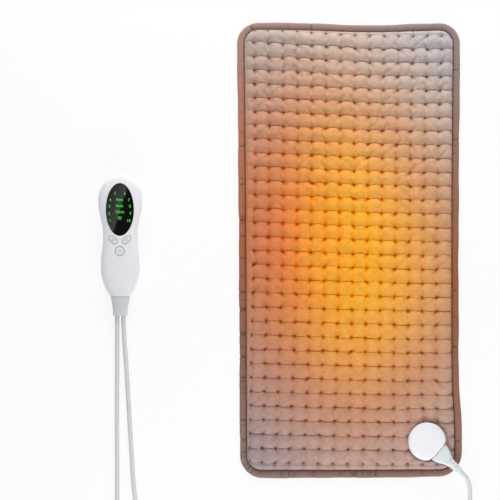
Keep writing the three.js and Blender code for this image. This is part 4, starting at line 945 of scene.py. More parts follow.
tack_places = cover_points[EDGE_STEPS[1] :: CELL_STEPS, EDGE_STEPS[0] :: CELL_STEPS].reshape(-1, 3)
nearest_side = [np.argmin(np.hypot(round_x - x, round_y - y)) for x, y in side_tacks]
tack_places = np.concatenate([tack_places, cover_points.reshape(-1, 3)[nearest_side]])
near_x, near_y = tack_places[:, 0], tack_places[:, 1]
shown = edge_distance(near_x, near_y, FIELD_HALF, FIELD_CORNER) > RIM_CLEARANCE
free = shown & (pressed(near_x, near_y, np.full(len(tack_places), OVER_CLOTH)) > OVER_CLOTH - 2.5)
dome, dome_faces = low_dome(2.1, 2.3, 1.1, 7)
dots = (tack_places[free] - [0, 0, SUNK])[:, None, :] + dome
tacks = make_mesh("tack_stitches", dots, copied(dome_faces, len(dome), len(dots)), tack_thread)
settle(tacks, "pad", "cover_cloth")
print("tacks", int(free.sum()))

# %% [markdown]
# ## Binding tape and its stitches
#
# The edge is closed by a folded tape of ribbed cloth, sewn through with a line of stitches near its inner
# edge. A bevelled curve would make a tape too, but without pleats. So its section, a flattened round, is
# carried round the pad's outline with small pleats pressed into it. The tape's own UV map runs along and
# across it, so that the ribs follow the edge round the corners. Its tints are its own: two ramps from the
# pad's bottom to its top, one for each side.

# %% Binding cloth
# Grosgrain, dull: its ribs are about 0.8 mm apart and drawn 2.2 mm apart, the finest that the render shows
RIB = 2.2
TAPE_MOTTLE = 7
# The ramps are warm in the middle, where they carry the painted glow of the pad
TAPE_LEFT = [(0.0, "#8F796F"), (0.25, "#88685D"), (0.5, "#A26747"), (0.75, "#AE755A"), (1.0, "#A08279")]
TAPE_RIGHT = [(0.0, "#95746A"), (0.3, "#93634C"), (0.45, "#9A6144"), (0.7, "#957061"), (1.0, "#8F7F7B")]
tape_finish = {"Roughness": 0.85, "Specular_IOR_Level": 0.2, "Sheen_Weight": 0.15, "Sheen_Roughness": 0.4}
binding_cloth = start_material("ribbed_binding_tape", **tape_finish)
tape_place = add_node(binding_cloth, "TexCoord").outputs["Object"]
tape_axes = add_node(binding_cloth, "SeparateXYZ", {0: tape_place})
tape_right, tape_up = [
    add_node(binding_cloth, "MapRange", {"Value": way, 1: -half * MM, 2: half * MM}).outputs[0]
    for way, half in zip(tape_axes.outputs, PAD_HALF)
]
tape_left_tint, tape_right_tint = [
    add_node(binding_cloth, "ValToRGB", {"Fac": tape_up}, stops=stops).outputs[0]
    for stops in (TAPE_LEFT, TAPE_RIGHT)
]
tape_sides = {0: tape_right, 6: tape_left_tint, 7: tape_right_tint}
tape_tint = add_node(binding_cloth, "Mix", tape_sides, data_type="RGBA").outputs[2]
tape_uv = add_node(binding_cloth, "UVMap", uv_map="weave").outputs[0]
tape_rib = add_node(
    binding_cloth,
    "TexWave",
    {"Vector": tape_uv, "Scale": 2 * np.pi / (20 * RIB * MM), "Distortion": 1.5, "Detail": 2.0},
    bands_direction="X",
).outputs[1]
tape_mottle = {"Vector": tape_uv, "Scale": 1 / (TAPE_MOTTLE * MM), "Detail": 3.0}
tape_noise = add_node(binding_cloth, "TexNoise", tape_mottle).outputs[0]
tape_both = {0: tape_rib, 1: 0.5, 2: tape_noise}
tape_mixed = add_node(binding_cloth, "Math", tape_both, operation="MULTIPLY_ADD").outputs[0]
tape_range = {"Value": tape_mixed, 1: 0.3, 2: 1.2, 3: 0.94, 4: 1.05}
tape_tone = add_node(binding_cloth, "MapRange", tape_range).outputs[0]
# Painted shade from the tape's attribute darkens its sewn-down half, pleats and end runs
tape_shade_input = add_node(binding_cloth, "Attribute", attribute_name="painted_shade").outputs["Fac"]
tape_dark = add_node(binding_cloth, "MapRange", {"Value": tape_shade_input, 3: 1.04, 4: 0.62}).outputs[0]
tape_value = add_node(binding_cloth, "Math", {0: tape_tone, 1: tape_dark}, operation="MULTIPLY").outputs[0]
tape_colour = add_node(binding_cloth, "HueSaturation", {"Color": tape_tint, "Value": tape_value}).outputs[0]
dress(binding_cloth, tape_colour, tape_rib, 0.2, 0.4)
print("binding nodes", len(binding_cloth.node_tree.nodes))

# %% Outline as a path


def outline(step):
    """The pad's edge as corner centres, which move along a side, and normals, which turn at a corner.

    A point at an inset is then the centre plus the normal times the corner radius less the inset.
    """
    side_x = PAD_HALF[0] - PAD_CORNER
    side_y = PAD_HALF[1] - PAD_CORNER
    corners = np.array([(side_x, -side_y), (side_x, side_y), (-side_x, side_y), (-side_x, -side_y)])
    arc_steps = round(PAD_CORNER * np.pi / 2 / step)
    centres, turns = [], []
    for k, (start, end) in enumerate(zip(corners, np.roll(corners, -1, axis=0))):
        steps = round(np.linalg.norm(end - start) / step)
        share = np.arange(steps)[:, None] / steps
        centres.append(start + share * (end - start))
        turns.append(np.full(steps, k * np.pi / 2))
        centres.append(np.repeat(end[None], arc_steps, axis=0))
        turns.append((k + np.arange(arc_steps) / arc_steps) * np.pi / 2)
    turn = np.concatenate(turns)
    return np.concatenate(centres), np.stack([np.cos(turn), np.sin(turn)], axis=1)


edge_centre, edge_normal = outline(1.0)
edge_rim = edge_centre + PAD_CORNER * edge_normal
edge_run = np.cumsum(np.linalg.norm(np.roll(edge_rim, -1, axis=0) - edge_rim, axis=1))
edge_run = np.concatenate([[0], edge_run])
print("outline", len(edge_centre), "stations,", round(edge_run[-1]), "mm round")

# %% Binding piece
BINDING_WIDTH = 10.2
BINDING_HEIGHT = 4.9
PLEATS = 70
# The shares of the way round at which the left side starts and ends
LEFT_SIDE = (0.63, 0.93)


def pleats(run, total):
    """Small pleats along the tape: narrow dips of random depth at random places, more of them on the left."""
    anywhere = chance.uniform(0, total, PLEATS)
    on_left = chance.uniform(total * LEFT_SIDE[0], total * LEFT_SIDE[1], PLEATS)
    spots = np.concatenate([anywhere, on_left])
    depth = 0.1 + 1.1 * chance.random(len(spots)) ** 2
    width = chance.uniform(0.8, 1.6, len(spots))
    return (depth * np.exp(-(((run[:, None] - spots) / width) ** 2))).sum(axis=1)


tape_x, tape_z = superellipse(angles(22), 2.3)
dip = pleats(edge_run[:-1], edge_run[-1])
wave = 0.25 * np.sin(edge_run[:-1] / 23) + 0.2 * np.sin(edge_run[:-1] / 9.1 + 2)
inset = BINDING_WIDTH / 2 * (1 - tape_x)
plan = edge_centre[:, None, :] + edge_normal[:, None, :] * (PAD_CORNER - inset)[None, :, None]
plan = plan + edge_normal[:, None, :] * ((wave - 0.5 * dip)[:, None] * np.clip(tape_x, 0, 1))[..., None]
tape_top = BINDING_HEIGHT / 2 * (1 + tape_z) + np.clip(tape_z, 0, 1) * (0.15 - dip + 0.3 * wave)[:, None]
tape_points = drawn_in(np.concatenate([plan, tape_top[..., None]], axis=-1))
tape_faces = grid_faces(len(edge_centre), len(tape_x), close_rows=True, close_columns=True)
# Each face's corners have their own place on the UV map, so that the map does not run back at its seams
station, spoke = np.divmod(tape_faces, len(tape_x))
station = np.where(station < station[:, :1], len(edge_centre), station)
spoke = np.where(spoke < spoke[:, :1], spoke + len(tape_x), spoke)
spoke[:, [0, 3]] = np.minimum(spoke[:, [0, 3]], spoke[:, [1, 2]])
tape_weave = np.stack([edge_run[station] * MM, spoke * MM], axis=-1)
binding = make_mesh("edge_binding_tape", tape_points, tape_faces, binding_cloth, crease=180.0, uv=tape_weave)
# Painted shade darkens the pleats and the sewn-down half, more on the end runs, which slope more than the
# sides
end_slope = np.abs(edge_normal[:, 1:2]) * (1 - tape_x) / 2
tape_shade = 0.75 * np.clip(-tape_x, 0, 1)[None, :] ** 2 + 0.75 * dip[:, None] + 0.5 * end_slope
binding_shade = binding.data.attributes.new("painted_shade", "FLOAT", "POINT")
binding_shade.data.foreach_set("value", np.clip(tape_shade, 0, 1).ravel())
settle(binding, "pad", "binding_cloth", "edge_binding")

# %% Stitches of the binding
# Polyester thread again, darker than the tape: its own colour and painted shade of the seam's crevice
STITCH_PITCH = 3.4
STITCH_INSET = 9.2
STITCH_SEAT = 4.3
STITCH_LEFT = [(0.0, "#8A5030"), (0.62, "#80503A"), (0.95, "#665450")]
STITCH_RIGHT = [(0.0, "#74472F"), (0.62, "#704735"), (0.95, "#584A46")]
edge_stitch = plush("binding_thread", STITCH_LEFT, STITCH_RIGHT, 0.1)
stitch_run = np.arange(0, edge_run[-1] - STITCH_PITCH, STITCH_PITCH)
nearest = np.searchsorted(edge_run, stitch_run) % len(edge_centre)
outward = edge_normal[nearest]
onward = np.stack([-outward[:, 1], outward[:, 0]], axis=1)
seat = edge_centre[nearest] + outward * (PAD_CORNER - STITCH_INSET)
dome, dome_faces = low_dome(1.1, 1.55, 0.7, 6)
stitch_plan = seat[:, None, :] + outward[:, None, :] * dome[:, :1] + onward[:, None, :] * dome[:, 1:2]
stitch_z = np.broadcast_to(STITCH_SEAT - SUNK + dome[:, 2], stitch_plan.shape[:2])
stitch_points = drawn_in(np.concatenate([stitch_plan, stitch_z[..., None]], axis=-1))
stitch_faces = copied(dome_faces, len(dome), len(stitch_run))
stitches = make_mesh("binding_stitches", stitch_points, stitch_faces, edge_stitch)
settle(stitches, "pad", "binding_cloth")

# %% [markdown]
# ## Layers below the cover
#
# Under the quilt lie wadding, the woven carrier that holds the heating wire, a felt and the back cover.
# They hardly show, but they follow the same drawn-in outline as the cover, so each is a thin slab of its own:
# the outline set in by the layer's inset, at two heights, with its edge rounded off.

# %% Wadding, carrier, felt and back cover
# Bonded polyester wadding: loose white fibres, seen as a dull fluff some 3 mm across
padding_wadding = moulded("polyester_wadding", "#EFEFEA", 3.0, shade=0.1, bump=0.8, Roughness=1.0)
# Spun lining: fibres pressed flat, with a dull mottled face
lining_cloth = moulded("spun_lining", "#D8D4CD", 1.5, shade=0.1, bump=0.5, Roughness=0.95)
# Woven polyester, dull and smooth, with threads about 0.5 mm apart that are drawn 2 mm apart
back_cloth = moulded("woven_back_cloth", "#8B7C78", 2.0, shade=0.12, bump=0.4, Roughness=0.9)
LAYER_STEP = 6
LAYER_MIDDLE = 28.9


def layer(name, inset, low, high, material, slot, node):
    """A slab under the cover: rings of the outline at the inset, drawn in to the middle above and below."""
    soft = (high - low) * 0.3
    insets = [LAYER_MIDDLE, inset + soft, inset, inset, inset + soft, LAYER_MIDDLE]
    levels = [high, high, high - soft, low + soft, low, low]
    centre, normal = edge_centre[::LAYER_STEP], edge_normal[::LAYER_STEP]
    rings = [
        np.column_stack([centre + normal * (PAD_CORNER - way_in), np.full(len(centre), level)])
        for way_in, level in zip(insets, levels)
    ]
    slab = make_mesh(name, *loft(drawn_in(np.array(rings))), material)
    return settle(slab, "pad", slot, node)


wadding = layer("wadding_sheet", 15.0, 5.1, 6.9, padding_wadding, "padding_wadding", "padding_layer")
carrier = layer("carrier_sheet", 14.0, 2.05, 2.6, lining_cloth, "lining_cloth", "carrier_fabric")
felt = layer("felt_sheet", 14.0, 1.05, 2.0, lining_cloth, "lining_cloth", "insulation_felt")
back = layer("back_cover_cloth", 6.0, 0.05, 0.95, back_cloth, "back_cloth", "back_cover")

# %% [markdown]
# ## Socket and plug on the pad
#
# A round white socket is clamped through the cover, and the cord's plug slides into it from the corner.
# Both are moulded in glossy white plastic. The socket is a lathe profile with one flat side, and the plug is
# a row of rounded sections. They are worked out along the plug's axis and then turned to where it points.

# %% White plastics
# ABS from a fine-sparked mould: satin white with a faint grain, 0.3 mm in truth and drawn at 1.5 mm
white_plastic = moulded("satin_abs", "#E9EBEF", 1.5, shade=0.015, bump=0.05, Roughness=0.34, IOR=1.54)
# ABS from a polished mould, a little glossier
socket_plastic = moulded("polished_abs", "#F3F3F8", 1.5, shade=0.015, bump=0.04, Roughness=0.3, IOR=1.54)
# Flexible PVC moulded over the plug and its relief, greyer and cooler than the hard socket
plug_plastic = moulded("overmoulded_pvc", "#DFE4E9", 1.5, shade=0.02, bump=0.04, Roughness=0.38, IOR=1.53)


def at_socket(points):
    """Turns points by the plug's angle about the upright and moves them to the socket."""
    x, y, z = np.moveaxis(np.asarray(points, float), -1, 0)
    turned_x = x * np.cos(PLUG_TURN) - y * np.sin(PLUG_TURN)
    turned_y = x * np.sin(PLUG_TURN) + y * np.cos(PLUG_TURN)
    return np.stack([turned_x, turned_y, z], axis=-1) + SOCKET


# %% Socket shells
SOCKET_FACE = 20.0
FACE_POWER = 14.0
MOUTH = (9.5, 3.5)


def flat_sided(profile, sides):
    """A lathe with one flat side: the radius is the profile's or, where less, the face's over the cosine.

    The two are joined as the -14th root of the sum of their -14th powers, which rounds the corner off.
    """
    turn = angles(sides)
    facing = np.maximum(np.cos(turn), 1e-3)
    face = np.where(np.cos(turn) > 0.05, SOCKET_FACE / facing, 1e3)
    radius, height = np.array(profile, float).T[:, :, None]
    soft = (np.maximum(radius, 1e-3) ** -FACE_POWER + face**-FACE_POWER) ** (-1 / FACE_POWER)
    spread = np.where(radius == 0, 0, soft)
    rings = np.stack([spread * np.cos(turn), spread * np.sin(turn), height + 0 * turn], axis=-1)
    return at_socket(rings), grid_faces(len(profile), sides, close_columns=True)


cover_profile = [
    (0, 13.0),
    (8, 12.95),
    (14, 12.75),
    (18.5, 12.4),
    (21.2, 11.85),
    (22.8, 11.1),
    (23.8, 10.1),
    (24.5, 8.8),
    (24.9, 7.4),
    (25, 6.6),
    (24.7, 6.2),
    (24.2, 6.15),
    (0, 6.15),
]
base_profile = [
    (0, 5.85),
    (24.2, 5.85),
    (24.7, 5.8),
    (25, 5.4),
    (25, 0.7),
    (24.6, 0.15),
    (24, 0),
    (9, 0),
    (9, -3.4),
    (0, -3.4),
]
for name, profile, node in (
    ("socket_top_shell", cover_profile, "socket_cover"),
    ("socket_base_shell", base_profile, "socket_base"),
):
    shell = make_mesh(name, *flat_sided(profile, 120), socket_plastic, crease=50.0)
    mouth = at_socket(bar((5.7, 30), *MOUTH, 9, 48, above=PLUG_MIDDLE))
    cut_away(shell, make_mesh("cutter", *loft(mouth), socket_plastic))
    settle(shell, "pad", "plug_plastic", node)

# %% Plug of the pad cord
WEDGE_START = 20.3
WEDGE_LENGTH = 18.0
WEDGE_STEPS = 16
CONTACTS_AT = (-5.5, 0, 5.5)
CONTACT_HOLE = 1.95


def plug_sections():
    """The plug's sections along its axis: a flat tongue, a shoulder, and a wedge.

    The wedge's half width goes from 13.2 to about 7 along a smooth step. Each row is place, half width, half
    height and section power.
    """
    place = np.linspace(0, WEDGE_LENGTH, WEDGE_STEPS)
    half = 13.2 - 7.4 * smoothstep(1, 24, place)
    tall = 4.8 - 0.29 * place / WEDGE_LENGTH
    wedge = np.stack([WEDGE_START + place, half, tall, np.full(WEDGE_STEPS, 3.0)], axis=1)
    wedge[0, 0] = WEDGE_START + 0.45
    tongue = [(6.0, 8.8, 2.8, 9), (6.4, 9.2, 3.2, 9), (WEDGE_START, 9.2, 3.2, 9)]
    shoulder = [(WEDGE_START, 12.7, 4.35, 3)]
    end = [(38.3, 6.6, 4.2, 3.0)]
    return np.concatenate([tongue, shoulder, wedge, end])


plug_rings = at_socket(bar(*plug_sections().T, 64, above=PLUG_MIDDLE))
plug = make_mesh("connector_plug_body", *loft(plug_rings), plug_plastic, crease=50.0)
contact_holes = [
    at_socket(bar((5, 19), CONTACT_HOLE, CONTACT_HOLE, 2, 24, beside=y, above=PLUG_MIDDLE))
    for y in CONTACTS_AT
]
cut_away(plug, *[make_mesh("cutter", *loft(hole), plug_plastic) for hole in contact_holes])
settle(plug, "control_set", "plug_plastic", "connector_plug")

# %% Strain relief of the plug


def ribbed_relief(places, radii, rib_pitch, rib_depth):
    """Places and radii of a strain relief: its outline less a bell-shaped groove at every rib pitch.

    The grooves fade out towards both ends.
    """
    fine = np.linspace(places[0], places[-1], 90)
    outline_radius = np.interp(fine, places, radii)
    phase = (fine - places[0]) / rib_pitch
    groove = np.exp(-(((phase % 1) - 0.5) ** 2) / 0.02)
    from_start = (fine - fine[0]) / np.ptp(fine)
    from_end = (fine[-1] - fine) / np.ptp(fine)
    inner = smoothstep(0.12, 0.2, from_start) * smoothstep(0.1, 0.16, from_end)
    return fine, outline_radius - rib_depth * groove * inner


relief_at, relief_radius = ribbed_relief(
    [38.6, 40.6, 49.6, 56.6, 58.6],
    [4.29, 4.29, 4.2, 4.4, 4.0],
    rib_pitch=4.2,
    rib_depth=0.6,
)
# The relief starts as wide as the wedge's end and becomes round at the cord
relief_wide = relief_radius * np.interp(relief_at, [38.6, 46, 51, 58.6], [1.5, 1.28, 1.28, 1.0])
relief_rings = at_socket(bar(relief_at, relief_wide, relief_radius, 2, 40, above=PLUG_MIDDLE))
relief = make_mesh("connector_relief_sleeve", *loft(relief_rings), plug_plastic, crease=60.0)
settle(relief, "control_set", "plug_plastic", "connector_relief")

# %% [markdown]
# ## Controller housing
#
# The controller is a hand-held shell of two halves with a round head, a waist and a belly, like a racket.
# Its outline is half an ellipse and three curves, and its section is a rounded rectangle that gets lower
# where the body gets narrower. A modifier could thicken one skin, but its rim would not lie flat.
# So each half is an outer and an inner skin joined at the rim, and the openings show a real wall.

# %% Outline and height of the controller
CONTROLLER = np.array([-301.0, -62.0, 0.0])
HEAD_HALF = 29.0
HEAD_AT = 127
HEAD_LENGTH = 33
PARTING = 12.0
FRONT_DEPTH = 15.0
REAR_DEPTH = 14.04
SECTION_POWER = 2.8
DOME_POWER = 0.35
WALL = 2.0


def bezier(points, count):
    """A cubic curve: its four points weighed by (1-t)^3, 3t(1-t)^2, 3t^2(1-t) and t^3."""
    t = np.linspace(0, 1, count)[:, None]
    p = np.asarray(points, float)
    return (1 - t) ** 3 * p[0] + 3 * t * (1 - t) ** 2 * p[1] + 3 * t**2 * (1 - t) * p[2] + t**3 * p[3]


def stations(wall):
    """Half widths, places and shares of the full width from the head's tip to the seam.

    The head is half an ellipse, and three curves lead from it over the waist and the belly to the neck. A
    wall of 0 gives the outside, and more gives a skin inside it.
    """
    t = np.linspace(np.pi / 2, 0, 40)
    head = np.stack([(HEAD_HALF - wall) * np.cos(t), HEAD_AT + (HEAD_LENGTH - wall) * np.sin(t)], axis=1)
    waist = bezier([(29, 127), (29, 108.4), (22.6, 99.1), (22.6, 80.5)], 30)[1:]
    belly = bezier([(22.6, 80.5), (22.6, 64.3), (25.65, 56.2), (25.65, 40)], 30)[1:]
    neck = bezier([(25.65, 40), (25.65, 26), (21.615, 12), (13.1, 0)], 36)[1:]
    rest = np.concatenate([waist, belly, neck]) - [wall, 0]
    share = np.concatenate([np.cos(t), (rest[:, 0] + wall) / HEAD_HALF])
    both = np.concatenate([head, rest])
    return both[:, 0], both[:, 1], share


def front_height(x, y):
    """Height of the front skin over a place on the controller.

    It is the parting plus the depth times the dome's share and the section's height at that place.
    """
    half, place, share = stations(0)
    wide = np.interp(y, place[::-1], half[::-1])
    dome = np.interp(y, place[::-1], share[::-1]) ** DOME_POWER
    across = np.clip(np.abs(x) / np.maximum(wide, 0.1), 0, 1)
    return PARTING + FRONT_DEPTH * dome * (1 - across**SECTION_POWER) ** (1 / SECTION_POWER)

# %% Two halves of the housing
NO_FLOOR = -5.0
REAR_FLOOR = 0.0


def skin(wall, depth, sign, floor):
    """One skin of a half: at each station half a superellipse off the parting, cut flat at a floor."""
    half, place, share = stations(wall)
    across, up = superellipse(np.linspace(0, np.pi, 61), SECTION_POWER)
    dome = share[:, None] ** DOME_POWER
    z = PARTING + sign * np.maximum((depth - wall) * dome * up, 0.15)
    z = np.maximum(z, floor)
    return np.stack([half[:, None] * across, place[:, None] + 0 * across, z], axis=-1)


def half_shell(name, depth, sign, floor):
    """A half of the housing: each ring runs round the outer skin and back along the inner one.

    The seam end is closed by a strip between the two.
    """
    outer = skin(0, depth, sign, floor)
    inner = skin(WALL, depth, sign, floor if floor == NO_FLOOR else floor + WALL)
    rings = np.concatenate([outer, inner[:, ::-1]], axis=1)
    count, sides = rings.shape[:2]
    last = (count - 1) * sides
    k = np.arange(outer.shape[1] - 1)
    strip = np.stack([last + k, last + k + 1, last + sides - 2 - k, last + sides - 1 - k], axis=1)
    faces = [*grid_faces(count, sides, close_columns=True), *strip]
    return make_mesh(name, rings + CONTROLLER, faces, white_plastic, crease=50.0)


front = half_shell("front_housing_shell", FRONT_DEPTH, 1, NO_FLOOR)
rear = half_shell("rear_housing_shell", REAR_DEPTH, -1, REAR_FLOOR)
settle(rear, "control_set", "white_plastic", "rear_housing")

# %% [markdown]
# ## Window, buttons and their openings
#
# The buttons follow the curved front, and the window has a flatter curve of its own, so that it mirrors the
# studio evenly. Each could be cut from the front's own mesh, but a stack of oval rings gives clean rims. A
# ring's height is either a surface's own height plus a lift, or one flat level inside.
# The same stack, a little larger and with a flared top, is what cuts the openings.

# %% Oval stacks


def oval_rings(centre, halves, tilt, rows, surface=front_height, sides=96):
    """A stack of oval rings: each row is a scale, an inset, a lift over the surface, a flat level or None."""
    turn = angles(sides)
    rings = []
    for scale, inset, lift, level in rows:
        along = (halves[0] * scale - inset) * np.cos(turn)
        over = (halves[1] * scale - inset) * np.sin(turn)
        x = centre[0] + along * np.cos(tilt) - over * np.sin(tilt)
        y = centre[1] + along * np.sin(tilt) + over * np.cos(tilt)
        z = surface(x, y) + lift if level is None else np.full(sides, level)
        rings.append(np.stack([x, y, z], axis=1))
    return np.array(rings) + CONTROLLER


def oval_piece(name, centre, halves, tilt, rows, material, surface=front_height, crease=35.0):
    """A closed piece from a stack of oval rings whose first and last rows are poles."""
    rings = oval_rings(centre, halves, tilt, rows, surface)
    faces = grid_faces(len(rows), rings.shape[1], close_columns=True)
    return make_mesh(name, rings, faces, material, crease=crease)


# %% Openings in the front
WINDOW_AT = (0.0, 114.5)
WINDOW_HALF = (18.1, 34.35)
LEVEL_AT = (-8.95, 74.6)
TIMER_AT = (8.95, 74.6)
OVAL_HALF = (7.05, 4.15)
OVAL_TILT = np.radians(40)
POWER_AT = (0.0, 60.0)
POWER_HALF = (6.4, 6.4)
CUT_TOP = 3.0
CUT_FLOOR = 14.0


def opening(centre, halves, tilt, gap):
    """A cutter for an opening: straight down inside, and flared by a quarter of a millimetre at the front."""
    rows = [
        (0, 0, CUT_TOP, None),
        (1, -gap - 0.3, CUT_TOP, None),
        (1, -gap - 0.25, 0.05, None),
        (1, -gap - 0.1, -0.12, None),
        (1, -gap, -0.5, None),
        (1, -gap, 0, CUT_FLOOR),
        (0, 0, 0, CUT_FLOOR),
    ]
    return oval_piece("cutter", centre, halves, tilt, rows, white_plastic)


cut_away(
    front,
    opening(WINDOW_AT, WINDOW_HALF, 0, 0.3),
    opening(LEVEL_AT, OVAL_HALF, -OVAL_TILT, 0),
    opening(TIMER_AT, OVAL_HALF, OVAL_TILT, 0),
    opening(POWER_AT, POWER_HALF, 0, 0),
)
settle(front, "control_set", "white_plastic", "front_housing")

# %% Window
# Polycarbonate, printed black behind and polished in front: a deep black with a clear reflection
polished = {"bump": 0.0, "Roughness": 0.06, "IOR": 1.585}
window_black = moulded("black_backed_polycarbonate", "#0B0C0D", 8.0, shade=0.2, **polished)
LENS_TOP = 26.75
LENS_DROP = (1.56, 1.2)
LENS_BACK = 23.4


def lens_height(x, y):
    """Height of the window's lens: its top less a drop to its sides and one to its ends, by the square."""
    across = (x - WINDOW_AT[0]) / WINDOW_HALF[0]
    along = (y - WINDOW_AT[1]) / WINDOW_HALF[1]
    return LENS_TOP - LENS_DROP[0] * across**2 - LENS_DROP[1] * along**2


window_rows = [(scale, 0, 0, None) for scale in np.linspace(0, 0.98, 24)]
window_rows += [(1, 0.12, -0.04, None), (1, 0, -0.25, None), (1, 0, 0, LENS_BACK), (0, 0, 0, LENS_BACK)]
window = oval_piece("display_window_lens", WINDOW_AT, WINDOW_HALF, 0, window_rows, window_black, lens_height)
settle(window, "control_set", "window_black", "display_window")

# %% Buttons
# ABS again, from a slightly coarser mould than the housing
button_plastic = moulded("button_abs", "#E2E5E8", 1.5, shade=0.02, bump=0.08, Roughness=0.4, IOR=1.54)
BUTTON_GAP = 0.45
BUTTON_PROUD = 0.5
BUTTON_CROWN = 0.25
FLANGE_TOP = 21.0
FLANGE_FOOT = 19.5
FLANGE_OUT = -1.1
STEM = 2.0


def button(name, centre, halves, tilt, body, node):
    """A button: a crowned cap with a rounded rim, a flange that keeps it in, and a stem over its switch."""
    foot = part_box(node)[0].z / MM
    scales = np.linspace(0, 0.88, 9)
    rows = [(scale, 0, BUTTON_PROUD + BUTTON_CROWN * (1 - scale**2), None) for scale in scales]
    rows += [
        (1, BUTTON_GAP + 0.3, BUTTON_PROUD - 0.02, None),
        (1, BUTTON_GAP + 0.08, BUTTON_PROUD - 0.2, None),
        (1, BUTTON_GAP, BUTTON_PROUD - 0.5, None),
        (1, BUTTON_GAP, 0, FLANGE_TOP),
        (1, FLANGE_OUT, 0, FLANGE_TOP),
        (1, FLANGE_OUT, 0, FLANGE_FOOT),
        (0, -STEM, 0, FLANGE_FOOT),
        (0, -STEM, 0, foot),
        (0, 0, 0, foot),
    ]
    cap = oval_piece(name, centre, halves, tilt, rows, button_plastic, crease=40.0)
    return settle(cap, body, "button_plastic", node)


button("level_button_cap", LEVEL_AT, OVAL_HALF, -OVAL_TILT, "level_key", "level_button")
button("timer_button_cap", TIMER_AT, OVAL_HALF, OVAL_TILT, "timer_key", "timer_button")
button("power_button_cap", POWER_AT, POWER_HALF, 0, "power_key", "power_button")

# %% [markdown]
# ## Legends
#
# The window shows ten level numbers in an arch, three times in minutes and a heat sign, lit in green.
# They could be a texture, but as thin meshes on the lens they stay sharp at any size.
# The text is made a mesh first, then fitted to its height and width and laid on the lens. The signs on the
# lens and on the buttons' caps are strokes: flat bars along a line.

# %% Lit green and text
# Light from green diodes behind the printed film, which has no gloss of its own
legend_green = moulded("lit_legend", "#37B53B", 3.0, shade=0.1, bump=0.0, Roughness=0.5)
legend_shader = legend_green.node_tree.nodes["Principled BSDF"]
legend_shader.inputs["Emission Color"].default_value = linear("#3CC43C")
legend_shader.inputs["Emission Strength"].default_value = 0.55
PRINT_THICKNESS = 0.1


def text_mesh(words):
    """The points and faces of a line of text, thickened to both sides and moved to its own middle."""
    curve = bpy.data.curves.new("words", "FONT")
    curve.body = words
    curve.extrude = PRINT_THICKNESS / 2
    curve.offset = 0.012
    curve.resolution_u = 3
    maker = bpy.data.objects.new("words", curve)
    scene.collection.objects.link(maker)
    mesh = maker.evaluated_get(bpy.context.evaluated_depsgraph_get()).to_mesh()
    spot = np.empty(len(mesh.vertices) * 3)
    mesh.vertices.foreach_get("co", spot)
    spot = spot.reshape(-1, 3)
    faces = [list(face.vertices) for face in mesh.polygons]
    bpy.data.objects.remove(maker)
    spot[:, :2] -= (spot[:, :2].max(0) + spot[:, :2].min(0)) / 2
    return spot, faces


def on_front(points, x, y, lift, surface):
    """Lays flat points on the controller at a place: their height is the surface's there plus a lift."""
    place_x = points[:, 0] + x
    place_y = points[:, 1] + y
    z = surface(place_x, place_y) + lift + points[:, 2]
    return np.stack([place_x, place_y, z], axis=1) + CONTROLLER


# %% Numbers and minutes
DIGIT_HEIGHT = 3.7
DIGIT_NARROWED = 0.9
LEGEND_LIFT = 0.06
# Words, their place from the window's centre, and their width, or None for the font's own, a little narrowed
legends = [
    ("5", -6.1, 21.3, None),
    ("6", 6.7, 21.2, None),
    ("4", -12.4, 12.7, None),
    ("7", 11.8, 12.7, None),
    ("3", -13.6, 4.3, None),
    ("8", 13.3, 4.3, None),
    ("2", -14.0, -5.1, None),
    ("9", 13.9, -5.1, None),
    ("1", -12.8, -14.5, None),
    ("10", 12.0, -14.5, 4.2),
    ("45min", -0.4, 13.0, 9.1),
    ("90min", -0.4, 4.8, 9.1),
    ("120min", 0.2, -3.1, 11.0),
]
for words, x, y, width in legends:
    spot, faces = text_mesh(words)
    grow = DIGIT_HEIGHT / np.ptp(spot[:, 1])
    stretch = width / np.ptp(spot[:, 0]) if width else grow * DIGIT_NARROWED
    spot = spot * [stretch, grow, 1]
    place = on_front(spot, WINDOW_AT[0] + x, WINDOW_AT[1] + y, LEGEND_LIFT, lens_height)
    legend = make_mesh("legend_" + words, place, faces, legend_green, crease=30.0)
    settle(legend, "control_set", "legend_green")

# %% Strokes of the signs


def stroke(line, width, thickness):
    """A flat bar along a plan line: its points set off by half the width to each side, above and below."""
    ahead = np.gradient(np.asarray(line, float), axis=0)
    side = np.stack([-ahead[:, 1], ahead[:, 0]], axis=1) / np.linalg.norm(ahead, axis=1)[:, None] * width / 2
    left, right = line - side, line + side
    half = np.full((len(line), 1), thickness / 2)
    edges = ((left, -half), (right, -half), (right, half), (left, half))
    return np.stack([np.hstack(edge) for edge in edges], axis=1)


def sign(name, lines, width, x, y, lift, material, body, slot, surface=front_height):
    """A sign of several strokes on the controller's front, as one mesh."""
    points, faces, count = [], [], 0
    for line in lines:
        rings, bar_faces = loft(stroke(line, width, PRINT_THICKNESS))
        points.append(rings.reshape(-1, 3))
        faces += [np.asarray(face) + count for face in bar_faces]
        count += len(points[-1])
    place = on_front(np.concatenate(points), x, y, lift, surface)
    return settle(make_mesh(name, place, faces, material, crease=30.0), body, slot)


rise = np.linspace(-2.1, 2.1, 15)
waves = [np.stack([shift + 0.45 * np.sin(rise * 1.9), rise], axis=1) for shift in (-1.7, 0, 1.7)]
heat_at = (WINDOW_AT[0] - 0.2, WINDOW_AT[1] - 11.1)
heat_on = (legend_green, "control_set", "legend_green", lens_height)
sign("legend_heat", waves, 0.6, *heat_at, LEGEND_LIFT, *heat_on)

# %% Signs on the buttons
# Pad-printed in grey ink, dull and very thin
sign_ink = moulded("pad_print_ink", "#B3B8BD", 2.0, shade=0.06, bump=0.0, Roughness=0.6)
SIGN_LIFT = 0.78


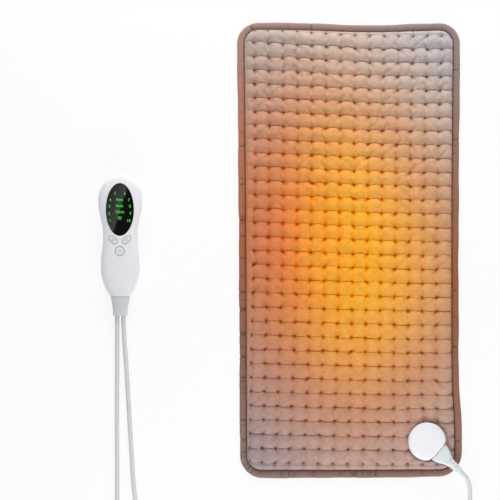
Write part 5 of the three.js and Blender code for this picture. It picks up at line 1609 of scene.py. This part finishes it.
def arc(radius, start, end, count):
    """Points on an arc about the origin, from one angle to another in degrees."""
    turn = np.linspace(np.radians(start), np.radians(end), count)
    return radius * np.stack([np.cos(turn), np.sin(turn)], axis=1)


power_lines = [arc(2.1, 125, 415, 25), np.array([(0.0, 0.6), (0.0, 1.5), (0.0, 2.5)])]
clock_lines = [
    arc(1.8, 0, 360, 33),
    np.array([(0.0, 1.1), (0.0, 0.5), (0.0, 0.0)]),
    np.array([(0.0, 0.0), (0.45, -0.25), (0.9, -0.5)]),
]
small_waves = [np.stack([shift + 0.3 * np.sin(rise * 2.2), rise * 0.8], axis=1) for shift in (-1.2, 0, 1.2)]
sign("sign_power", power_lines, 0.42, *POWER_AT, SIGN_LIFT, sign_ink, "power_key", "button_plastic")
sign("sign_timer", clock_lines, 0.38, *TIMER_AT, SIGN_LIFT, sign_ink, "timer_key", "button_plastic")
sign("sign_level", small_waves, 0.38, *LEVEL_AT, SIGN_LIFT, sign_ink, "level_key", "button_plastic")

# %% [markdown]
# ## Cord collar
#
# Below a fine seam the body goes on as a collar of slightly softer plastic, from which both cords leave.
# It is a row of rounded sections that get narrower, with two round holes cut for the cords.

# %% Collar
# Softer PVC, a little greyer and duller than the housing above the seam
collar_pvc = moulded("soft_collar_pvc", "#CED4DA", 1.5, shade=0.02, bump=0.05, Roughness=0.42, IOR=1.53)
COLLAR_START = 13.1
COLLAR_END = (9.5, 6.7)
COLLAR_POWER = 2.5
SEAM = 0.3
CORD_HOLE = 3.3
CORDS_AT = (-4.1, 4.1)
# Place and narrowing are curves of the second degree in the share of the way down the collar
share = np.linspace(0, 1, 20)
collar_at = 2 * 10 * share * (1 - share) + 25 * share**2
narrowing = 2 * 0.97 * share * (1 - share) + share**2
start_tall = FRONT_DEPTH * (COLLAR_START / HEAD_HALF) ** DOME_POWER - 0.3
half_wide = COLLAR_START + (COLLAR_END[0] - COLLAR_START) * narrowing
half_tall = start_tall + (COLLAR_END[1] - start_tall) * narrowing
# One smaller section before the first and one after the last round off the ends
collar_at = np.concatenate([[0.0], collar_at[:-1] + 0.5, [24.6, 25.0]])
half_wide = np.concatenate([[half_wide[0] - 0.9], half_wide, [half_wide[-1] - 0.45]])
half_tall = np.concatenate([[half_tall[0] - 0.9], half_tall, [half_tall[-1] - 0.45]])
# A bar runs along x and the collar along y, so the first two columns change places
ALONG_Y = [1, 0, 2]
collar_rings = bar(-SEAM - collar_at, half_wide, half_tall, COLLAR_POWER, 72, above=PARTING)[..., ALONG_Y]
collar_rings[..., 2] = np.maximum(collar_rings[..., 2], 0.0)
collar = make_mesh("cord_collar_sleeve", *loft(collar_rings + CONTROLLER), collar_pvc, crease=50.0)
cord_holes = [
    bar((-30.0, -4.0), CORD_HOLE, CORD_HOLE, 2, 72, beside=x, above=PARTING)[..., ALONG_Y] for x in CORDS_AT
]
cut_away(collar, *[make_mesh("cutter", *loft(hole + CONTROLLER), collar_pvc) for hole in cord_holes])
settle(collar, "control_set", "white_plastic", "cord_collar")

# %% [markdown]
# ## Mains plug, its strain relief and the tie
#
# The mains lead ends in a moulded two-blade plug, out of the picture beside the coiled lead.
# The plug is moulded onto the cord in PVC: it swells from the relief to a grip with shallow finger ridges.
# A band of hook-and-loop cloth holds the coil: a small section carried round a larger, squarish loop.

# %% Mains plug and relief
# PVC again, moulded onto the cord: satin, with faint flow marks some 4 mm long
plug_pvc = moulded("moulded_pvc", "#DCDDDF", 4.0, shade=0.02, bump=0.06, Roughness=0.38, IOR=1.53)
MAINS = np.array([-169.7, -485.39, 8.5])
MAINS_HALF_TALL = 8.5
MAINS_POWER = 3.4
RIDGE = 0.35
RIDGE_PITCH = 3.2
# Place, half width and half height, with a smooth line through them
body_rows = [(0, 6.25, 5.27), (3, 9, 7.31), (9, 11.25, 8.5), (27, 12.5, 8.5), (32, 11.75, 7.99)]
body_half = smooth_line(body_rows, 0.4)
body_at = np.linspace(0, 32, 70)
half_wide = np.interp(body_at, body_half[:, 0], body_half[:, 1])
half_tall = np.minimum(np.interp(body_at, body_half[:, 0], body_half[:, 2]), MAINS_HALF_TALL)
# The ridges are a sine along the grip, and lie on its sides only: the fourth power of the way across
grip = smoothstep(9, 11, body_at) * smoothstep(25, 23, body_at)
ridges = RIDGE * np.sin(body_at * 2 * np.pi / RIDGE_PITCH) * grip
across = superellipse(angles(72), MAINS_POWER)[0]
mains_rings = bar(body_at, half_wide, half_tall, MAINS_POWER, 72)
mains_rings[..., 1] += ridges[:, None] * np.sign(across) * np.abs(across) ** 4
mains_plug = make_mesh("mains_plug_body", *loft(mains_rings + MAINS), plug_pvc, crease=50.0)
settle(mains_plug, "control_set", "plug_plastic", "mains_plug")
relief_at, relief_radius = ribbed_relief(
    [-26.3, -13.3, -3.9, -0.3],
    [4.0, 4.3, 5.2, 5.2],
    rib_pitch=3.2,
    rib_depth=0.6,
)
relief_rings = bar(relief_at, relief_radius, relief_radius, 2, 72)
mains_relief = make_mesh("mains_relief_sleeve", *loft(relief_rings + MAINS), plug_pvc, crease=60.0)
settle(mains_relief, "control_set", "cord_pvc", "mains_relief")

# %% Tie
# Hook-and-loop band: dull knitted loops, 0.5 mm across in truth and drawn at 1.2 mm
tie_cloth = moulded("hook_and_loop", "#3A3A3C", 1.2, shade=0.35, bump=0.7, Roughness=0.95, Sheen_Weight=0.2)
TIE_TURN = np.radians(45)
TIE_MIDDLE = (33.345, 7.7)
TIE_HALF = (15.845, 7.1)
BAND_HALF = (4.5, 0.48)
loop_x, loop_z = superellipse(angles(72), 5)
band_across, band_thick = superellipse(angles(16), 6)
tie_out = TIE_MIDDLE[0] + (TIE_HALF[0] + BAND_HALF[1] * band_thick[None, :]) * loop_x[:, None]
tie_up = TIE_MIDDLE[1] + (TIE_HALF[1] + BAND_HALF[1] * band_thick[None, :]) * loop_z[:, None]
tie_beside = BAND_HALF[0] * band_across[None, :] + 0 * loop_x[:, None]
tie_x = COIL[0] + tie_out * np.cos(TIE_TURN) - tie_beside * np.sin(TIE_TURN)
tie_y = COIL[1] + tie_out * np.sin(TIE_TURN) + tie_beside * np.cos(TIE_TURN)
tie_faces = grid_faces(len(loop_x), len(band_across), close_rows=True, close_columns=True)
tie = make_mesh("cord_tie_band", np.stack([tie_x, tie_y, tie_up], axis=-1), tie_faces, tie_cloth)
settle(tie, "control_set", "tie_cloth", "cord_tie")

# %% [markdown]
# ## Pieces kept from the CAD model
#
# The blades, screws, contacts and everything inside keep their CAD shape and only get a real finish.
# The record says which finish each node has, so one table of materials is enough.

# %% Finishes of the CAD nodes
# Rolled brass, and steel plated with nickel: metals with the fine lines of rolling, 0.2 mm drawn at 0.8 mm
rolled = {"grain": 0.8, "bump": 0.1, "Metallic": 1.0}
contact_brass = moulded("rolled_brass", "#D9B36A", shade=0.1, Roughness=0.28, **rolled)
plated_steel = moulded("nickel_plated_steel", "#C9CBCC", shade=0.08, Roughness=0.26, **rolled)
# Silicone, extruded over the heating wire: soft and satin
wire_silicone = moulded("silicone_sleeve", "#C9574B", 2.0, shade=0.05, Roughness=0.5)
# Nylon without dye, moulded: milky and a little waxy
inner_plastic = moulded("natural_nylon", "#DAD6C8", 1.0, shade=0.04, Roughness=0.45)
# Glass cloth pressed in resin under green lacquer: satin, with a faint mottle
board_green = moulded("glass_laminate", "#2F6B3F", 1.2, shade=0.12, Roughness=0.4)
# Epoxy, moulded round chips and switches: dull black
black_plastic = moulded("black_epoxy", "#232425", 0.8, shade=0.2, Roughness=0.55)
# Polyester film in a moulded case: smooth and satin
capacitor_yellow = moulded("yellow_film_case", "#C9A63A", 1.0, shade=0.06, Roughness=0.4)
finishes = {
    "cover_cloth": cover_cloth,
    "padding_wadding": padding_wadding,
    "wire_silicone": wire_silicone,
    "lining_cloth": lining_cloth,
    "back_cloth": back_cloth,
    "binding_cloth": binding_cloth,
    "white_plastic": white_plastic,
    "button_plastic": button_plastic,
    "plug_plastic": plug_plastic,
    "inner_plastic": inner_plastic,
    "window_black": window_black,
    "legend_green": legend_green,
    "board_green": board_green,
    "black_plastic": black_plastic,
    "capacitor_yellow": capacitor_yellow,
    "contact_brass": contact_brass,
    "plated_steel": plated_steel,
    "cord_pvc": cord_pvc,
    "tie_cloth": tie_cloth,
}
for row in frame["record"]["subparts"]:
    mesh = frame["nodes"][row["node"]].data
    mesh.materials.clear()
    mesh.materials.append(finishes[row["material_slot"]])
print("finishes", len(finishes))

# %% [markdown]
# ## Floor and light
#
# The photograph has a white ground and soft light along the pad, stronger from the top of the picture.
# The floor shows part of its own white to the camera, so it stays white and still keeps the object's shadow.
# Two wide soft lamps stand beyond the pad's ends, the upper one stronger, and skim over the quilting, so that
# its creases show. One lamp overhead would light it flat. An even pale world fills the shadows.
# Glossy pieces mirror neither lamp: they mirror a white studio with one dark gap.

# %% Floor
# Matt white paper, which also glows for the camera and for mirrors
FLOOR_HALF = 6000.0
FLOOR_LEVEL = -0.4
FLOOR_GLOW = 0.85
floor_white = bpy.data.materials.new("floor_white")
floor_white.use_nodes = True
floor_tree = floor_white.node_tree
floor_tree.nodes.remove(floor_tree.nodes["Principled BSDF"])
floor_rays = add_node(floor_white, "LightPath").outputs
floor_direct = {0: floor_rays["Is Camera Ray"], 1: floor_rays["Is Glossy Ray"]}
floor_seen = add_node(floor_white, "Math", floor_direct, operation="MAXIMUM").outputs[0]
floor_through = {0: floor_seen, 1: floor_rays["Is Transmission Ray"]}
floor_clear = add_node(floor_white, "Math", floor_through, operation="MAXIMUM").outputs[0]
floor_share = add_node(floor_white, "Math", {0: floor_clear, 1: FLOOR_GLOW}, operation="MULTIPLY").outputs[0]
floor_paper = add_node(floor_white, "BsdfDiffuse", {"Color": linear("#F4F4F4")}).outputs[0]
floor_light = add_node(floor_white, "Emission", {"Color": (1, 1, 1, 1), "Strength": 1.0}).outputs[0]
floor_mix = add_node(floor_white, "MixShader", {0: floor_share, 1: floor_paper, 2: floor_light}).outputs[0]
floor_tree.links.new(floor_mix, floor_tree.nodes["Material Output"].inputs["Surface"])
floor_corners = FLOOR_HALF * np.array([(-1, -1), (1, -1), (1, 1), (-1, 1)])
floor_points = np.column_stack([floor_corners, np.full(4, FLOOR_LEVEL)])
floor = make_mesh("floor", floor_points, [(0, 1, 2, 3)], floor_white, closed=False)

# %% World
# Glossy pieces mirror a white studio with one dark gap: its edge crosses the controller's window aslant
CARD_EDGE = (0.589, -0.808, 0.0)
CARD = [
    (0.25, "#FFFFFF"),
    (0.37, "#A0A0A0"),
    (0.483, "#FFFFFF"),
    (0.486, "#404040"),
    (0.63, "#404040"),
    (0.72, "#FFFFFF"),
]
FILL = 0.36
world = bpy.data.worlds.new("studio")
scene.world = world
world.use_nodes = True
world.node_tree.nodes.clear()
world_facing = {0: add_node(world, "TexCoord").outputs["Generated"], 1: CARD_EDGE}
world_side = add_node(world, "VectorMath", world_facing, operation="DOT_PRODUCT").outputs["Value"]
world_share = add_node(world, "MapRange", {"Value": world_side, 1: -1.0, 2: 1.0}).outputs[0]
world_card = add_node(world, "ValToRGB", {"Fac": world_share}, stops=CARD).outputs[0]
world_rays = add_node(world, "LightPath").outputs
world_bent = {0: world_rays["Is Glossy Ray"], 1: world_rays["Is Transmission Ray"]}
world_clear = add_node(world, "Math", world_bent, operation="MAXIMUM").outputs[0]
fill_light = add_node(world, "Background", {"Color": (1, 1, 1, 1), "Strength": FILL}).outputs[0]
mirrored = add_node(world, "Background", {"Color": world_card, "Strength": 1.0}).outputs[0]
backdrop = add_node(world, "Background", {"Color": (1, 1, 1, 1), "Strength": 1.0}).outputs[0]
lit = add_node(world, "MixShader", {0: world_clear, 1: fill_light, 2: mirrored}).outputs[0]
seen = add_node(world, "MixShader", {0: world_rays["Is Camera Ray"], 1: lit, 2: backdrop})
add_node(world, "OutputWorld", {"Surface": seen.outputs[0]})

# %% Lamps
LAMP_SPREAD = np.radians(110)


def soft_lamp(name, place, aim, size, watts):
    """A wide lamp at a place in metres whose face looks at the aim, with a grid that narrows its cone."""
    light = bpy.data.lights.new(name, "AREA")
    light.shape = "RECTANGLE"
    light.size, light.size_y = size
    light.spread = LAMP_SPREAD
    light.energy = watts
    lamp = bpy.data.objects.new(name, light)
    # From a low angle the polished window would mirror the lamp as a white glare
    lamp.visible_glossy = False
    lamp.location = place
    away = np.array(place) - np.array(aim)
    reach = np.linalg.norm(away)
    lamp.rotation_euler = (np.arccos(away[2] / reach), 0, np.arctan2(away[1], away[0]) + np.pi / 2)
    scene.collection.objects.link(lamp)
    return lamp


soft_lamp("upper_lamp", (0.0, 0.98, 0.46), (0.0, 0.1, 0), (1.3, 0.4), 5.2)
soft_lamp("lower_lamp", (0.0, -0.98, 0.46), (0.0, -0.1, 0), (1.3, 0.4), 3.75)
